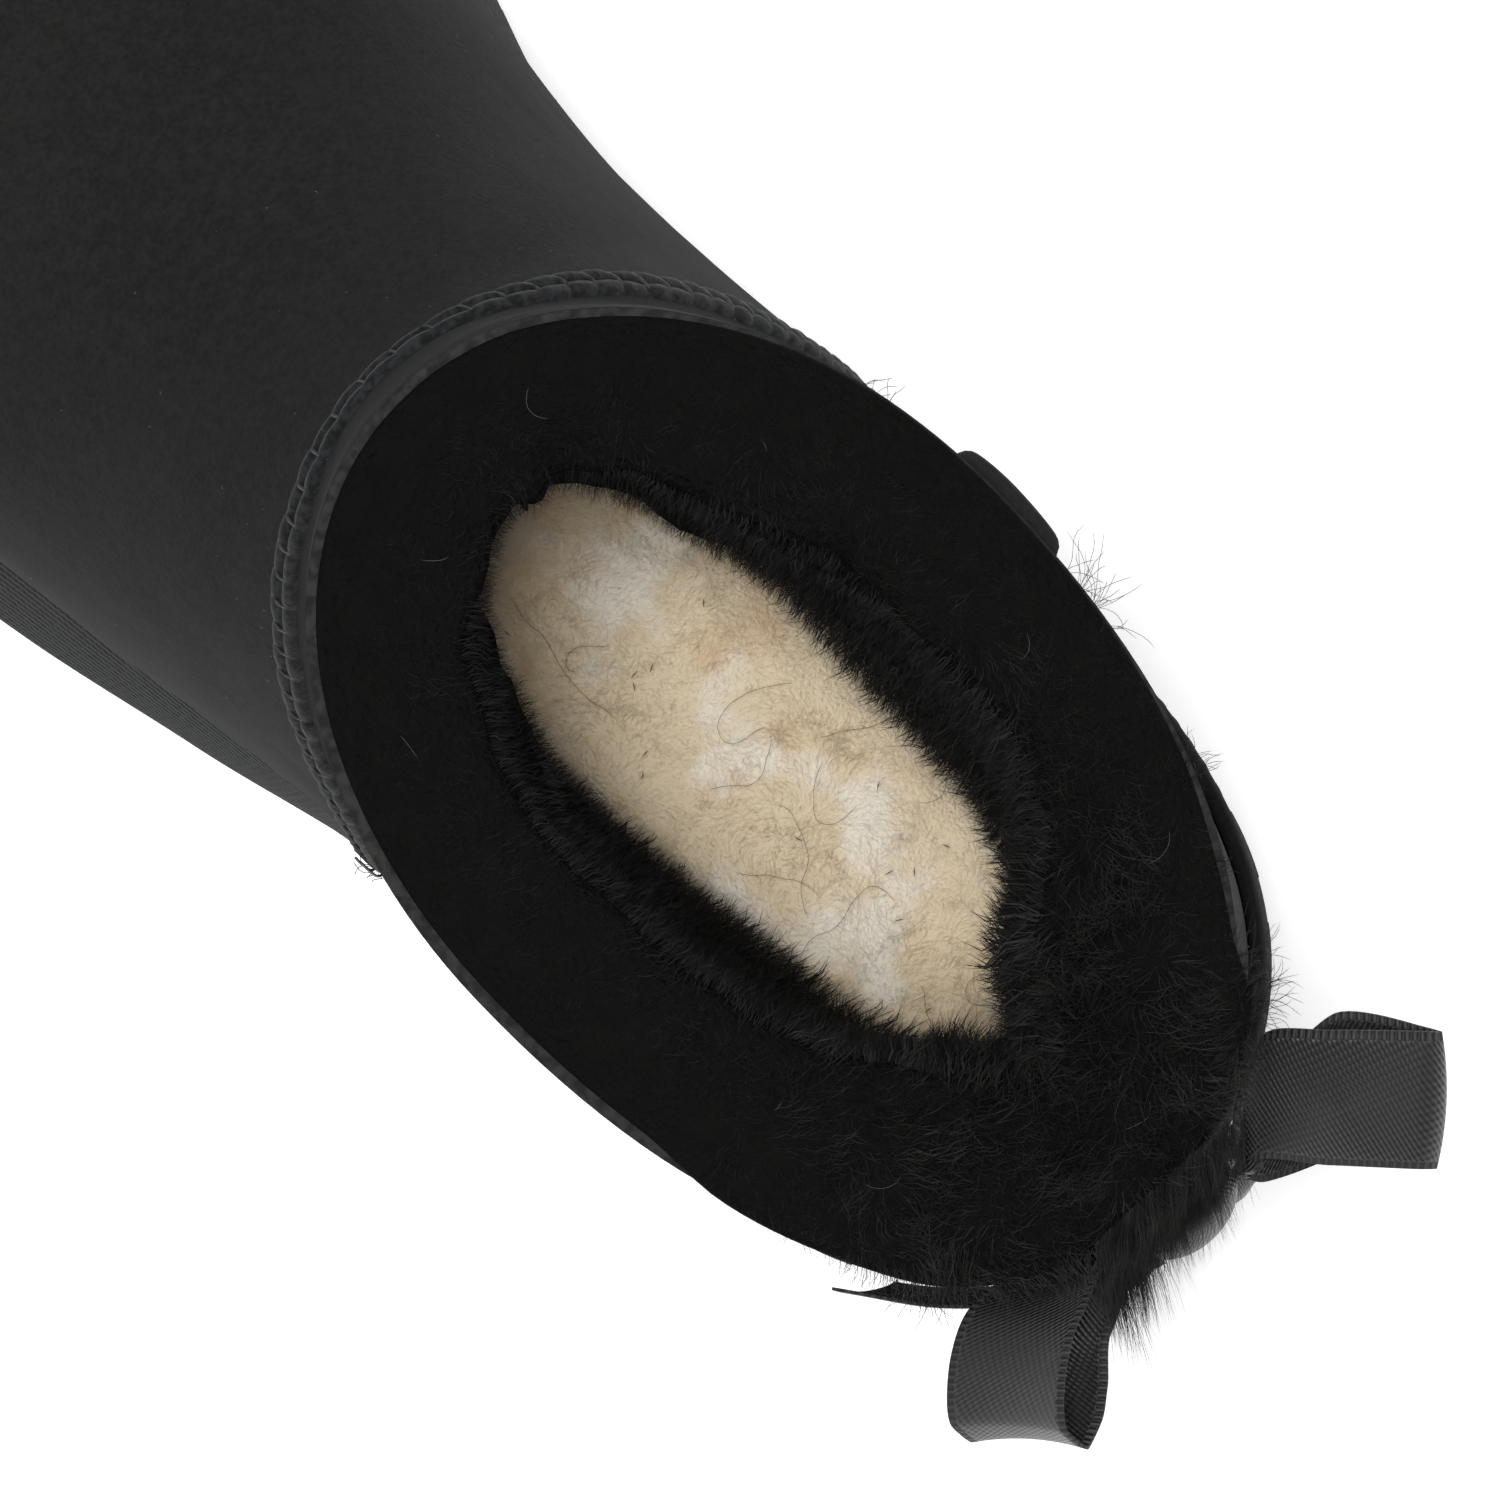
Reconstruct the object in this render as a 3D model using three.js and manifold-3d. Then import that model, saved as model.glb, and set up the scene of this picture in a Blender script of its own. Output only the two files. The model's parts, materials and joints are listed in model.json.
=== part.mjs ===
// Sheepskin ankle boot, left foot, with a ribbon bow at the back of the collar.
// Millimetres. The boot is worked out with +Y forward from the back edge of the sole, +X towards the
// inner side of the foot and +Z up from the floor, and is then moved so that its origin is the middle
// of its footprint.
import * as THREE from 'three';
import { mergeVertices } from 'three/addons/utils/BufferGeometryUtils.js';
import Module from 'manifold-3d';

const wasm = await Module();
wasm.setup();

// ---- driving dimensions -----------------------------------------------------------------------------
const SOLE_LENGTH = 263;
const HEEL_RADIUS = 34;
const TOE_ROUND_START = 206;      // where the sole starts to round in towards the toe
const TOE_ROUND_POWER = 2.15;
const UPPER_TOE = 259.5;          // front of the upper, just behind the front of the sole
const TOE_TIP_HEIGHT = 41;        // height of the foremost point of the upper
const TOE_CARRY = 0.8;            // share of the vamp's slope that the toe cap carries on
const WALL = 16;                  // 2 mm of hide and 14 mm of wool
const FIT_GAP = 0.3;              // clearance between pieces that touch
const INSOLE_THICKNESS = 12;      // board and wool together
const SOLE_LIP = 1.0;             // ledge of the sole around the foot of the upper
const SOLE_EDGE = 2.2;            // rounding of the tread's outer edge
const GROOVE_WIDTH = 5;
const GROOVE_DEPTH = 3;
const GROOVE_PITCH = 13;
const COUNTER_THICKNESS = 1.8;
const RIBBON_WIDTH = 15.5;
const RIBBON_THICKNESS = 0.9;

// ---- the last: a row for each section, from the toe cap back round the heel and up to the collar ----
// near is the point on the front line (vamp ridge, instep, front of the shaft) and far is the point on
// the bottom and back line. widest is how far from near to far the section is widest. mid and half
// give its middle line and half width there, ridge moves its top towards the inner side, and the
// powers say how square its near and far halves are.
const SECTION_COLUMNS = [
  'nearY', 'nearZ', 'farY', 'farZ', 'widest', 'mid', 'half', 'ridge', 'nearPower', 'farPower',
];
const SECTIONS = [
  [204, 73.5, 204, -22, 0.35, -2.8, 43.8, 3.0, 2.30, 2.0],              // toe cap
  [186, 79, 184, -27, 0.365, -3.8, 44.3, 4.0, 2.20, 2.0],               // toes
  [166, 86, 160, -31, 0.39, -4.8, 42.8, 4.5, 2.15, 2.0],                // ball
  [146, 95, 134, -32, 0.43, -5.3, 38.8, 4.5, 2.10, 2.0],                // waist
  [132, 104.5, 108, -32, 0.46, -4.8, 36.2, 4.0, 2.10, 2.0],             // instep
  [123, 113, 90, -32, 0.48, -3.4, 35.2, 2.5, 2.10, 2.1],                // throat
  [119.5, 117.5, 71, -33, 0.50, -2.1, 34.8, 1.2, 2.10, 2.2],            // front seam
  [117.8, 120.8, 42, -33, 0.50, -0.8, 34.7, 0.5, 2.12, 2.4],            // arch
  [116.9, 123.3, 15, -18, 0.50, -0.3, 34.0, 0, 2.14, 2.6],              // heel seat
  [116.2, 125.4, 6.6, 14, 0.50, 0, 33.4, 0, 2.15, 2.55],                // heel
  [115.7, 127.1, 5.4, 45, 0.48, 0, 33.6, 0, 2.15, 2.5],                 // heel back
  [115.3, 128.6, 7, 82, 0.46, -0.3, 34.4, 0, 2.15, 2.3],                // ankle
  [115, 130, 9.5, 127, 0.46, -0.6, 35.4, 0, 2.05, 2.2],                 // collar
].map((row, station) => {
  const columns = SECTION_COLUMNS.map((column, k) => [column, row[k]]);
  return { station, ...Object.fromEntries(columns) };
});

// ---- the sole: its middle line, half width, underside and top, a row for each station ---------------
const SOLE_PLAN = [
  { y: 0, mid: 0, half: 34 },
  { y: 34, mid: 0, half: 34 },
  { y: 71, mid: -0.8, half: 34 },
  { y: 84, mid: -2.6, half: 34.2 },
  { y: 107, mid: -6.2, half: 36.6 },
  { y: 130, mid: -8.2, half: 40.2 },
  { y: 147, mid: -7.4, half: 44.4 },
  { y: 166, mid: -5.8, half: 47.6 },
  { y: 186, mid: -4.2, half: 48.6 },
  { y: 206, mid: -2.5, half: 48 },
  { y: 263, mid: 2.5, half: 45 },
];
const SOLE_SIDE = [
  { y: 0, under: 1.2, top: 22.5 },
  { y: 9, under: 0, top: 22.5 },
  { y: 68, under: 0, top: 22 },
  { y: 98, under: 3, top: 20.5 },
  { y: 132, under: 0, top: 18.5 },
  { y: 182, under: 0, top: 17.5 },
  { y: 206, under: 0.4, top: 18.2 },
  { y: 235, under: 3.6, top: 21 },
  { y: 263, under: 9, top: 26 },
];

// ---- interpolation ----------------------------------------------------------------------------------

// Slope of a column at a row: the harmonic mean of the steps on its two sides, so that nothing
// overshoots between rows.
function slopeAt(rows, key, column, index) {
  const step = (k) => (rows[k + 1][column] - rows[k][column]) / (rows[k + 1][key] - rows[k][key]);
  if (index === 0) return step(0);
  if (index === rows.length - 1) return step(index - 1);
  const before = step(index - 1);
  const after = step(index);
  return before * after > 0 ? 2 * before * after / (before + after) : 0;
}

// A column's value at a place along the key column, on a smooth curve through the rows.
function along(rows, key, column, place) {
  let k = 0;
  while (k < rows.length - 2 && place > rows[k + 1][key]) k += 1;
  const span = rows[k + 1][key] - rows[k][key];
  const t = (place - rows[k][key]) / span;
  const start = rows[k][column];
  const end = rows[k + 1][column];
  if (t < 0) return start + slopeAt(rows, key, column, k) * t * span;
  const slope0 = slopeAt(rows, key, column, k) * span;
  const slope1 = slopeAt(rows, key, column, k + 1) * span;
  const t2 = t * t;
  const t3 = t2 * t;
  return (2 * t3 - 3 * t2 + 1) * start + (t3 - 2 * t2 + t) * slope0
    + (3 * t2 - 2 * t3) * end + (t3 - t2) * slope1;
}

const COLLAR = SECTIONS.length - 1;
const soleTop = (y) => along(SOLE_SIDE, 'y', 'top', y);
const soleUnder = (y) => along(SOLE_SIDE, 'y', 'under', y);

// ---- the form of the last ---------------------------------------------------------------------------

// Columns of the section at a station. Stations from -1 to 0 are the toe cap, which rounds in from the
// first row to the tip of the toe.
function sectionAt(station) {
  const section = {};
  for (const column of SECTION_COLUMNS) {
    section[column] = along(SECTIONS, 'station', column, Math.max(station, 0));
  }
  if (station < 0) {
    const turn = (1 + station) * Math.PI / 2;
    const forward = Math.cos(turn) ** (2 / TOE_ROUND_POWER) * (UPPER_TOE - SECTIONS[0].nearY);
    const size = Math.sin(turn) ** (2 / TOE_ROUND_POWER);
    const ahead = forward / (SECTIONS[0].nearY - SECTIONS[1].nearY);
    for (const column of ['mid', 'half', 'nearZ', 'ridge']) {
      section[column] += TOE_CARRY * ahead * (SECTIONS[0][column] - SECTIONS[1][column]);
    }
    section.nearY += forward;
    section.farY += forward;
    section.half *= size;
    section.ridge *= size;
    section.nearZ = TOE_TIP_HEIGHT + (section.nearZ - TOE_TIP_HEIGHT) * size;
    section.farZ = TOE_TIP_HEIGHT + (section.farZ - TOE_TIP_HEIGHT) * size;
  }
  return section;
}

// Point of the outer skin: turn 0 is the front line, a quarter turn is the inner side of the foot.
function skinPoint(section, turn) {
  const c = Math.cos(turn);
  const s = Math.sin(turn);
  const power = c > 0 ? section.nearPower : section.farPower;
  const reach = Math.abs(c) ** (2 / power);
  const share = c > 0 ? section.widest * (1 - reach) : section.widest + (1 - section.widest) * reach;
  const side = Math.sign(s) * Math.abs(s) ** (2 / power);
  const lean = c > 0 ? section.ridge * c * c : 0;
  return new THREE.Vector3(
    section.mid + section.half * side + lean,
    section.nearY + (section.farY - section.nearY) * share,
    section.nearZ + (section.farZ - section.nearZ) * share,
  );
}

// Outward normal of the skin, from its neighbours along and around.
const NORMAL_STEP = 0.02;
const TOE_LIMIT = -0.99;          // just behind the tip of the toe, where the sections close
function skinNormal(station, turn) {
  const back = Math.min(station + NORMAL_STEP, COLLAR);
  const front = Math.max(back - 2 * NORMAL_STEP, TOE_LIMIT);
  const lengthways = skinPoint(sectionAt(back), turn).sub(skinPoint(sectionAt(front), turn));
  const section = sectionAt(station);
  const around = skinPoint(section, turn + NORMAL_STEP)
    .sub(skinPoint(section, turn - NORMAL_STEP));
  return lengthways.cross(around).normalize();
}

// Closed body of the last, its skin moved outwards by grow, from the toe to the collar plus a neck
// that stands straight up by extra.
const AROUND = 40;
const TOE_STATIONS = [-0.95, -0.86, -0.74, -0.58, -0.4, -0.2];
const STATION_STEP = 0.5;
function lastBody(grow, extra) {
  const stations = [...TOE_STATIONS];
  for (let station = 0; station <= COLLAR; station += STATION_STEP) stations.push(station);
  const rings = stations.map((station) => {
    const section = sectionAt(station);
    const ring = [];
    for (let k = 0; k < AROUND; k += 1) {
      const turn = (k + 0.5) * 2 * Math.PI / AROUND;
      ring.push(skinPoint(section, turn).addScaledVector(skinNormal(station, turn), grow));
    }
    return ring;
  });
  if (extra > 0) {
    rings.push(rings[rings.length - 1].map((point) => point.clone().setZ(point.z + extra)));
  }
  const tip = sectionAt(-1);
  const toe = new THREE.Vector3(tip.mid, UPPER_TOE + grow, TOE_TIP_HEIGHT);
  return solidFromRings(rings, { start: toe, caps: 'fan' });
}

// ---- meshes and solids ------------------------------------------------------------------------------

// Solid from rings of equal length, each a list of Vector3. A fan cap closes an end on a point, which is
// the middle of the ring or the point start, and caps across join the two halves of a ring.
function solidFromRings(rings, { start, caps }) {
  const count = rings[0].length;
  const points = rings.flat();
  const triangles = [];
  for (let k = 0; k < count; k += 1) {
    const next = (k + 1) % count;
    for (let r = 0; r < rings.length - 1; r += 1) {
      const a = r * count + k;
      const b = r * count + next;
      triangles.push(a, b, b + count, a, b + count, a + count);
    }
  }
  const lastRing = (rings.length - 1) * count;
  if (caps === 'fan') {
    const middle = (ring) => ring.reduce((sum, p) => sum.add(p), new THREE.Vector3()).divideScalar(count);
    const apex = points.length;
    points.push(start || middle(rings[0]), middle(rings[rings.length - 1]));
    for (let k = 0; k < count; k += 1) {
      const next = (k + 1) % count;
      triangles.push(apex, next, k, apex + 1, lastRing + k, lastRing + next);
    }
  } else {
    const across = (k) => (count - k) % count;
    for (let k = 0; k < count / 2; k += 1) {
      const quad = [k, k + 1, across(k + 1), across(k)];
      const halves = [[quad[0], quad[1], quad[2]], [quad[0], quad[2], quad[3]]];
      for (const [a, b, c] of halves) {
        if (a === b || b === c || c === a) continue;
        triangles.push(a, c, b, lastRing + a, lastRing + b, lastRing + c);
      }
    }
  }
  return solidFromTriangles(points, triangles);
}

// A manifold from points and triangles, turned the right way out.
function solidFromTriangles(points, triangles) {
  let volume = 0;
  for (let k = 0; k < triangles.length; k += 3) {
    const [a, b, c] = [points[triangles[k]], points[triangles[k + 1]], points[triangles[k + 2]]];
    volume += a.dot(b.clone().cross(c));
  }
  const ordered = volume > 0 ? triangles : triangles.slice().reverse();
  return new wasm.Manifold(new wasm.Mesh({
    numProp: 3,
    vertProperties: new Float32Array(points.flatMap((p) => [p.x, p.y, p.z])),
    triVerts: new Uint32Array(ordered),
  }));
}

// A manifold from a closed three.js geometry.
function solidFromGeometry(geometry) {
  geometry.deleteAttribute('normal');
  geometry.deleteAttribute('uv');
  const merged = mergeVertices(geometry, 1e-4);
  return new wasm.Manifold(new wasm.Mesh({
    numProp: 3,
    vertProperties: new Float32Array(merged.attributes.position.array),
    triVerts: new Uint32Array(merged.index.array),
  }));
}

// Flat outline in the side view, [y, z] pairs, pushed right across the boot.
function acrossBoot(outline) {
  const width = 160;
  const shape = new THREE.Shape(outline.map(([y, z]) => new THREE.Vector2(y, z)));
  const geometry = new THREE.ExtrudeGeometry(shape, { depth: width, bevelEnabled: false });
  geometry.applyMatrix4(new THREE.Matrix4().makeBasis(
    new THREE.Vector3(0, 1, 0),
    new THREE.Vector3(0, 0, 1),
    new THREE.Vector3(1, 0, 0),
  ));
  geometry.translate(-width / 2, 0, 0);
  return solidFromGeometry(geometry);
}

// Named mesh from a manifold.
function piece(name, solid, colour, roughness) {
  const mesh = solid.getMesh();
  const geometry = new THREE.BufferGeometry();
  geometry.setAttribute('position', new THREE.BufferAttribute(new Float32Array(mesh.vertProperties), 3));
  geometry.setIndex(new THREE.BufferAttribute(new Uint32Array(mesh.triVerts), 1));
  geometry.computeVertexNormals();
  const material = new THREE.MeshStandardMaterial({ color: colour, roughness, metalness: 0 });
  const result = new THREE.Mesh(geometry, material);
  result.name = name;
  return result;
}

// ---- cutting forms shared by the pieces -------------------------------------------------------------

const SOLE_STATIONS = 24;

// Everything between two heights above the top of the sole.
function slabOverSole(low, high) {
  const outline = [];
  const end = 60;
  for (let k = 0; k <= SOLE_STATIONS; k += 1) {
    const y = k / SOLE_STATIONS * SOLE_LENGTH;
    outline.push([y, soleTop(y) + low]);
  }
  const front = soleTop(SOLE_LENGTH);
  const back = soleTop(0);
  outline.push([SOLE_LENGTH + end, front + low], [SOLE_LENGTH + end, front + high]);
  for (let k = SOLE_STATIONS; k >= 0; k -= 1) {
    const y = k / SOLE_STATIONS * SOLE_LENGTH;
    outline.push([y, soleTop(y) + high]);
  }
  outline.push([-end, back + high], [-end, back + low]);
  return acrossBoot(outline);
}

// ---- outsole ----------------------------------------------------------------------------------------

const SOLE_EDGE_STEPS = 36;

// Half width of the sole at a station, rounded to a circle at the heel and to a blunt curve at the toe.
function soleHalf(y) {
  const half = along(SOLE_PLAN, 'y', 'half', y);
  if (y < HEEL_RADIUS) return half * Math.sqrt(Math.max(0, 1 - (1 - y / HEEL_RADIUS) ** 2));
  if (y < TOE_ROUND_START) return half;
  const share = (y - TOE_ROUND_START) / (SOLE_LENGTH - TOE_ROUND_START);
  return half * Math.max(0, 1 - share ** TOE_ROUND_POWER) ** (1 / TOE_ROUND_POWER);
}

// The line where the skin of the upper meets the top of the sole: its middle and half width at each
// station, from the two points of each section at that height, which are found by halving.
function featherLine() {
  const line = [];
  const [front, back] = [-0.999, COLLAR];
  const steps = 260;
  for (let k = 0; k <= steps; k += 1) {
    const section = sectionAt(front + (back - front) * k / steps);
    const height = (turn) => {
      const point = skinPoint(section, turn);
      return point.z - soleTop(THREE.MathUtils.clamp(point.y, 0, SOLE_LENGTH));
    };
    let [above, below] = [0, Math.PI];
    if (height(above) < 0 || height(below) > 0) continue;
    for (let halving = 0; halving < 24; halving += 1) {
      const turn = (above + below) / 2;
      if (height(turn) > 0) above = turn;
      else below = turn;
    }
    const inner = skinPoint(section, above);
    const outer = skinPoint(section, -above);
    line.push({ y: inner.y, mid: (inner.x + outer.x) / 2, half: (inner.x - outer.x) / 2 });
  }
  return line.sort((a, b) => a.y - b.y);
}

// Closed outline of 2 * SOLE_EDGE_STEPS points [x, y], from the toe round the inner side, whose points
// k and -k face each other across the foot.
function outlineRing(back, front, plan) {
  const ring = [];
  for (let k = 0; k < 2 * SOLE_EDGE_STEPS; k += 1) {
    const angle = k * Math.PI / SOLE_EDGE_STEPS;
    const y = (front + back) / 2 + (front - back) / 2 * Math.cos(angle);
    const { mid, half } = plan(y);
    const side = k % SOLE_EDGE_STEPS === 0 ? 0 : Math.sign(Math.sin(angle));
    ring.push([mid + side * half, y]);
  }
  return ring;
}

function treadOutline(inset) {
  return outlineRing(inset, SOLE_LENGTH - inset, (y) => ({
    mid: along(SOLE_PLAN, 'y', 'mid', y),
    half: Math.max(0, soleHalf(y) - inset),
  }));
}

// Outline of the top of the sole, a lip wider than the feather line all round.
function topOutline(lip) {
  const feather = featherLine();
  const back = feather[0].y;
  const front = feather[feather.length - 1].y;
  const widest = Math.max(...feather.map((point) => point.half));
  return outlineRing(back - lip, front + lip, (y) => {
    const place = THREE.MathUtils.mapLinear(y, back - lip, front + lip, back, front);
    let k = 0;
    while (k < feather.length - 2 && feather[k + 1].y < place) k += 1;
    const t = (place - feather[k].y) / (feather[k + 1].y - feather[k].y);
    return {
      mid: THREE.MathUtils.lerp(feather[k].mid, feather[k + 1].mid, t),
      half: THREE.MathUtils.lerp(feather[k].half, feather[k + 1].half, t) * (1 + lip / widest),
    };
  });
}

// Chevron groove right across the tread, in plan, raised into the sole from below the floor.
function treadGroove(y) {
  const reach = 60;
  const rise = 9;
  const half = GROOVE_WIDTH / 2;
  const outline = [
    [-reach, y - rise - half], [0, y + rise - half], [reach, y - rise - half],
    [reach, y - rise + half], [0, y + rise + half], [-reach, y - rise + half],
  ];
  const shape = new THREE.Shape(outline.map(([x, along]) => new THREE.Vector2(x, along)));
  const below = 5;
  const depth = below + soleUnder(y) + GROOVE_DEPTH;
  const geometry = new THREE.ExtrudeGeometry(shape, { depth, bevelEnabled: false });
  geometry.translate(0, 0, -below);
  return solidFromGeometry(geometry);
}

// Foam sole: its side slopes in from the tread to the foot of the upper, and chevron grooves leave the
// lugs of the heel and the forefoot.
function outsole() {
  const wide = treadOutline(0);
  const foot = topOutline(SOLE_LIP);
  const middle = wide.map(([x, y], k) => [(x + foot[k][0]) / 2, (y + foot[k][1]) / 2]);
  const under = ([, y]) => soleUnder(THREE.MathUtils.clamp(y, 0, SOLE_LENGTH));
  const over = ([, y]) => soleTop(THREE.MathUtils.clamp(y, 0, SOLE_LENGTH));
  const levels = [
    { outline: treadOutline(SOLE_EDGE), height: under },
    { outline: wide, height: (p) => under(p) + SOLE_EDGE },
    { outline: middle, height: (p) => (under(p) + SOLE_EDGE + over(p) - SOLE_LIP) / 2 },
    { outline: foot, height: (p) => over(p) - SOLE_LIP },
    { outline: topOutline(0), height: over },
  ];
  const rings = levels.map(({ outline, height }) => (
    outline.map((p) => new THREE.Vector3(p[0], p[1], height(p)))
  ));
  let solid = solidFromRings(rings, { caps: 'across' });
  const grooves = [
    { first: 16, last: 60 },
    { first: 146, last: 250 },
  ];
  for (const { first, last } of grooves) {
    for (let y = first; y <= last; y += GROOVE_PITCH) solid = solid.subtract(treadGroove(y));
  }
  return solid;
}

// ---- upper, insole and heel counter -----------------------------------------------------------------

const FAR_DOWN = -100;
const INNER_NECK = 8;             // how far a form that hollows another stands out of its collar

function upper() {
  return lastBody(0, 0)
    .subtract(lastBody(-WALL, INNER_NECK))
    .subtract(slabOverSole(FAR_DOWN, FIT_GAP));
}

function insole() {
  return lastBody(-WALL - FIT_GAP, 0).intersect(slabOverSole(FIT_GAP, FIT_GAP + INSOLE_THICKNESS));
}

// The counter wraps the back of the heel: its top line rises from the sole at each side to a low
// arch at the back.
function heelCounter() {
  const [front, shoulder, behind] = [52, 20, -20];
  const [foot, top] = [15, 62];
  const crown = 4;
  const outline = [[behind, foot], [behind, top + crown], [shoulder - 12, top + crown]];
  const drop = new THREE.EllipseCurve(shoulder, foot, front - shoulder, top - foot, Math.PI / 2, 0, true);
  outline.push(...drop.getPoints(9).map((p) => [p.x, p.y]));
  return lastBody(FIT_GAP + COUNTER_THICKNESS, 0)
    .subtract(lastBody(FIT_GAP, INNER_NECK))
    .intersect(acrossBoot(outline))
    .subtract(slabOverSole(FAR_DOWN, FIT_GAP));
}

// ---- ribbon bow -------------------------------------------------------------------------------------

const KNOT = new THREE.Vector3(0, 3.2, 101.5);     // middle of the knot, against the back of the shaft
const KNOT_REACH = [5.9, 4, 8];
const RIBBON_LEAD = 0.25;         // share of a row over which the ribbon's direction is taken

// Stations of each ribbon: the middle of its width, and how its width lies. heading is the direction
// of the width in plan, in degrees from the inner side towards the toe, rise is its slope above the
// floor, and width is how much of it is spread out. side is +1 towards the inner side of the foot.
const INNER_LOOP = [
  { x: 6.9, y: 4.2, z: 103.6, heading: 20, rise: 80, width: 9 },
  { x: 9.4, y: 6.2, z: 106.2, heading: 36, rise: 58, width: 13 },
  { x: 12.8, y: 6.4, z: 109, heading: 45, rise: 36, width: RIBBON_WIDTH },
  { x: 18, y: 1.6, z: 111.6, heading: 46, rise: 30, width: RIBBON_WIDTH },
  { x: 24, y: -4.4, z: 112.4, heading: 46, rise: 28, width: RIBBON_WIDTH },
  { x: 25.4, y: -5.8, z: 111, heading: 46, rise: 28, width: RIBBON_WIDTH },
  { x: 24.4, y: -4.2, z: 109.2, heading: 46, rise: 28, width: RIBBON_WIDTH },
  { x: 19, y: 2.2, z: 107.6, heading: 48, rise: 24, width: RIBBON_WIDTH },
  { x: 12, y: 3.2, z: 104.4, heading: 42, rise: 42, width: 15 },
  { x: 8.8, y: 2.8, z: 102, heading: 30, rise: 62, width: 11 },
  { x: 6.9, y: 1, z: 100, heading: 20, rise: 80, width: 8.5 },
];
const OUTER_LOOP = [
  { x: 6.9, y: 4.4, z: 103.8, heading: 20, rise: 84, width: 9 },
  { x: 10.5, y: 6.4, z: 106.6, heading: 34, rise: 104, width: 13 },
  { x: 14.8, y: 7.6, z: 109.2, heading: 42, rise: 124, width: RIBBON_WIDTH },
  { x: 18.8, y: 7, z: 110.6, heading: 44, rise: 134, width: RIBBON_WIDTH },
  { x: 24.2, y: 3.8, z: 111, heading: 44, rise: 136, width: RIBBON_WIDTH },
  { x: 27.6, y: -0.4, z: 109.8, heading: 44, rise: 136, width: RIBBON_WIDTH },
  { x: 27.2, y: -2.9, z: 107.4, heading: 44, rise: 136, width: RIBBON_WIDTH },
  { x: 24.6, y: -2, z: 105.6, heading: 44, rise: 136, width: RIBBON_WIDTH },
  { x: 21.6, y: 0, z: 105.6, heading: 44, rise: 134, width: RIBBON_WIDTH },
  { x: 17.2, y: 3.2, z: 106.2, heading: 42, rise: 128, width: RIBBON_WIDTH },
  { x: 12.2, y: 3.6, z: 104.4, heading: 38, rise: 112, width: 13.5 },
  { x: 9, y: 2.8, z: 102.2, heading: 30, rise: 98, width: 11 },
  { x: 6.9, y: 1.2, z: 100.2, heading: 20, rise: 84, width: 8.5 },
];
const OUTER_TAIL = [
  { x: 4.9, y: 1.6, z: 91.4, heading: -10, rise: 80, width: 7.5 },
  { x: 12, y: 3.4, z: 89.4, heading: -30, rise: 86, width: 12.5 },
  { x: 18.4, y: 8, z: 89.2, heading: -46, rise: 86, width: RIBBON_WIDTH },
  { x: 24.6, y: 13.6, z: 88, heading: -50, rise: 86, width: RIBBON_WIDTH },
  { x: 28.8, y: 19, z: 86.4, heading: -52, rise: 86, width: RIBBON_WIDTH },
];
const INNER_TAIL = [
  { x: 4.4, y: 1.6, z: 94.6, heading: 4, rise: 24, width: 8 },
  { x: 8.6, y: 0.8, z: 88, heading: 12, rise: 20, width: 12 },
  { x: 12.6, y: 1.6, z: 82, heading: 20, rise: 26, width: RIBBON_WIDTH },
  { x: 16.4, y: 2, z: 75.5, heading: 24, rise: 26, width: RIBBON_WIDTH },
  { x: 18.6, y: 2.2, z: 71.5, heading: 26, rise: 26, width: RIBBON_WIDTH },
];

// Flat ribbon through the stations, with a square section at each step.
function ribbon(stations, side) {
  stations.forEach((row, index) => { row.station = index; });
  const last = stations.length - 1;
  const steps = 2 * last;
  const read = (place) => {
    const row = {};
    for (const column of ['x', 'y', 'z', 'heading', 'rise', 'width']) {
      row[column] = along(stations, 'station', column, place);
    }
    return row;
  };
  const centre = (place) => {
    const row = read(THREE.MathUtils.clamp(place, 0, last));
    return new THREE.Vector3(row.x, row.y, row.z);
  };
  const rings = [];
  for (let k = 0; k <= steps; k += 1) {
    const place = k * last / steps;
    const row = read(place);
    const heading = THREE.MathUtils.degToRad(row.heading);
    const rise = THREE.MathUtils.degToRad(row.rise);
    const across = new THREE.Vector3(
      Math.cos(heading) * Math.cos(rise),
      Math.sin(heading) * Math.cos(rise),
      Math.sin(rise),
    );
    const forward = centre(place + RIBBON_LEAD).sub(centre(place - RIBBON_LEAD)).normalize();
    const through = new THREE.Vector3().crossVectors(forward, across).normalize();
    const width = across.multiplyScalar(row.width / 2);
    const depth = through.multiplyScalar(RIBBON_THICKNESS / 2);
    rings.push([[1, 1], [-1, 1], [-1, -1], [1, -1]].map(([w, d]) => centre(place)
      .addScaledVector(width, w).addScaledVector(depth, d).multiply(new THREE.Vector3(side, 1, 1))));
  }
  return solidFromRings(rings, { caps: 'fan' });
}

// Knot: a flattened ball that the loops and tails start from.
function bowKnot() {
  const geometry = new THREE.SphereGeometry(1, 14, 9);
  geometry.scale(...KNOT_REACH);
  geometry.translate(...KNOT);
  return solidFromGeometry(geometry);
}

// ---- assembly ---------------------------------------------------------------------------------------

const BLACK_HIDE = 0x26262a;
const BLACK_FOAM = 0x323234;
const BLACK_SATIN = 0x2d2d2b;
const CREAM_WOOL = 0xcdbea5;

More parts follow.
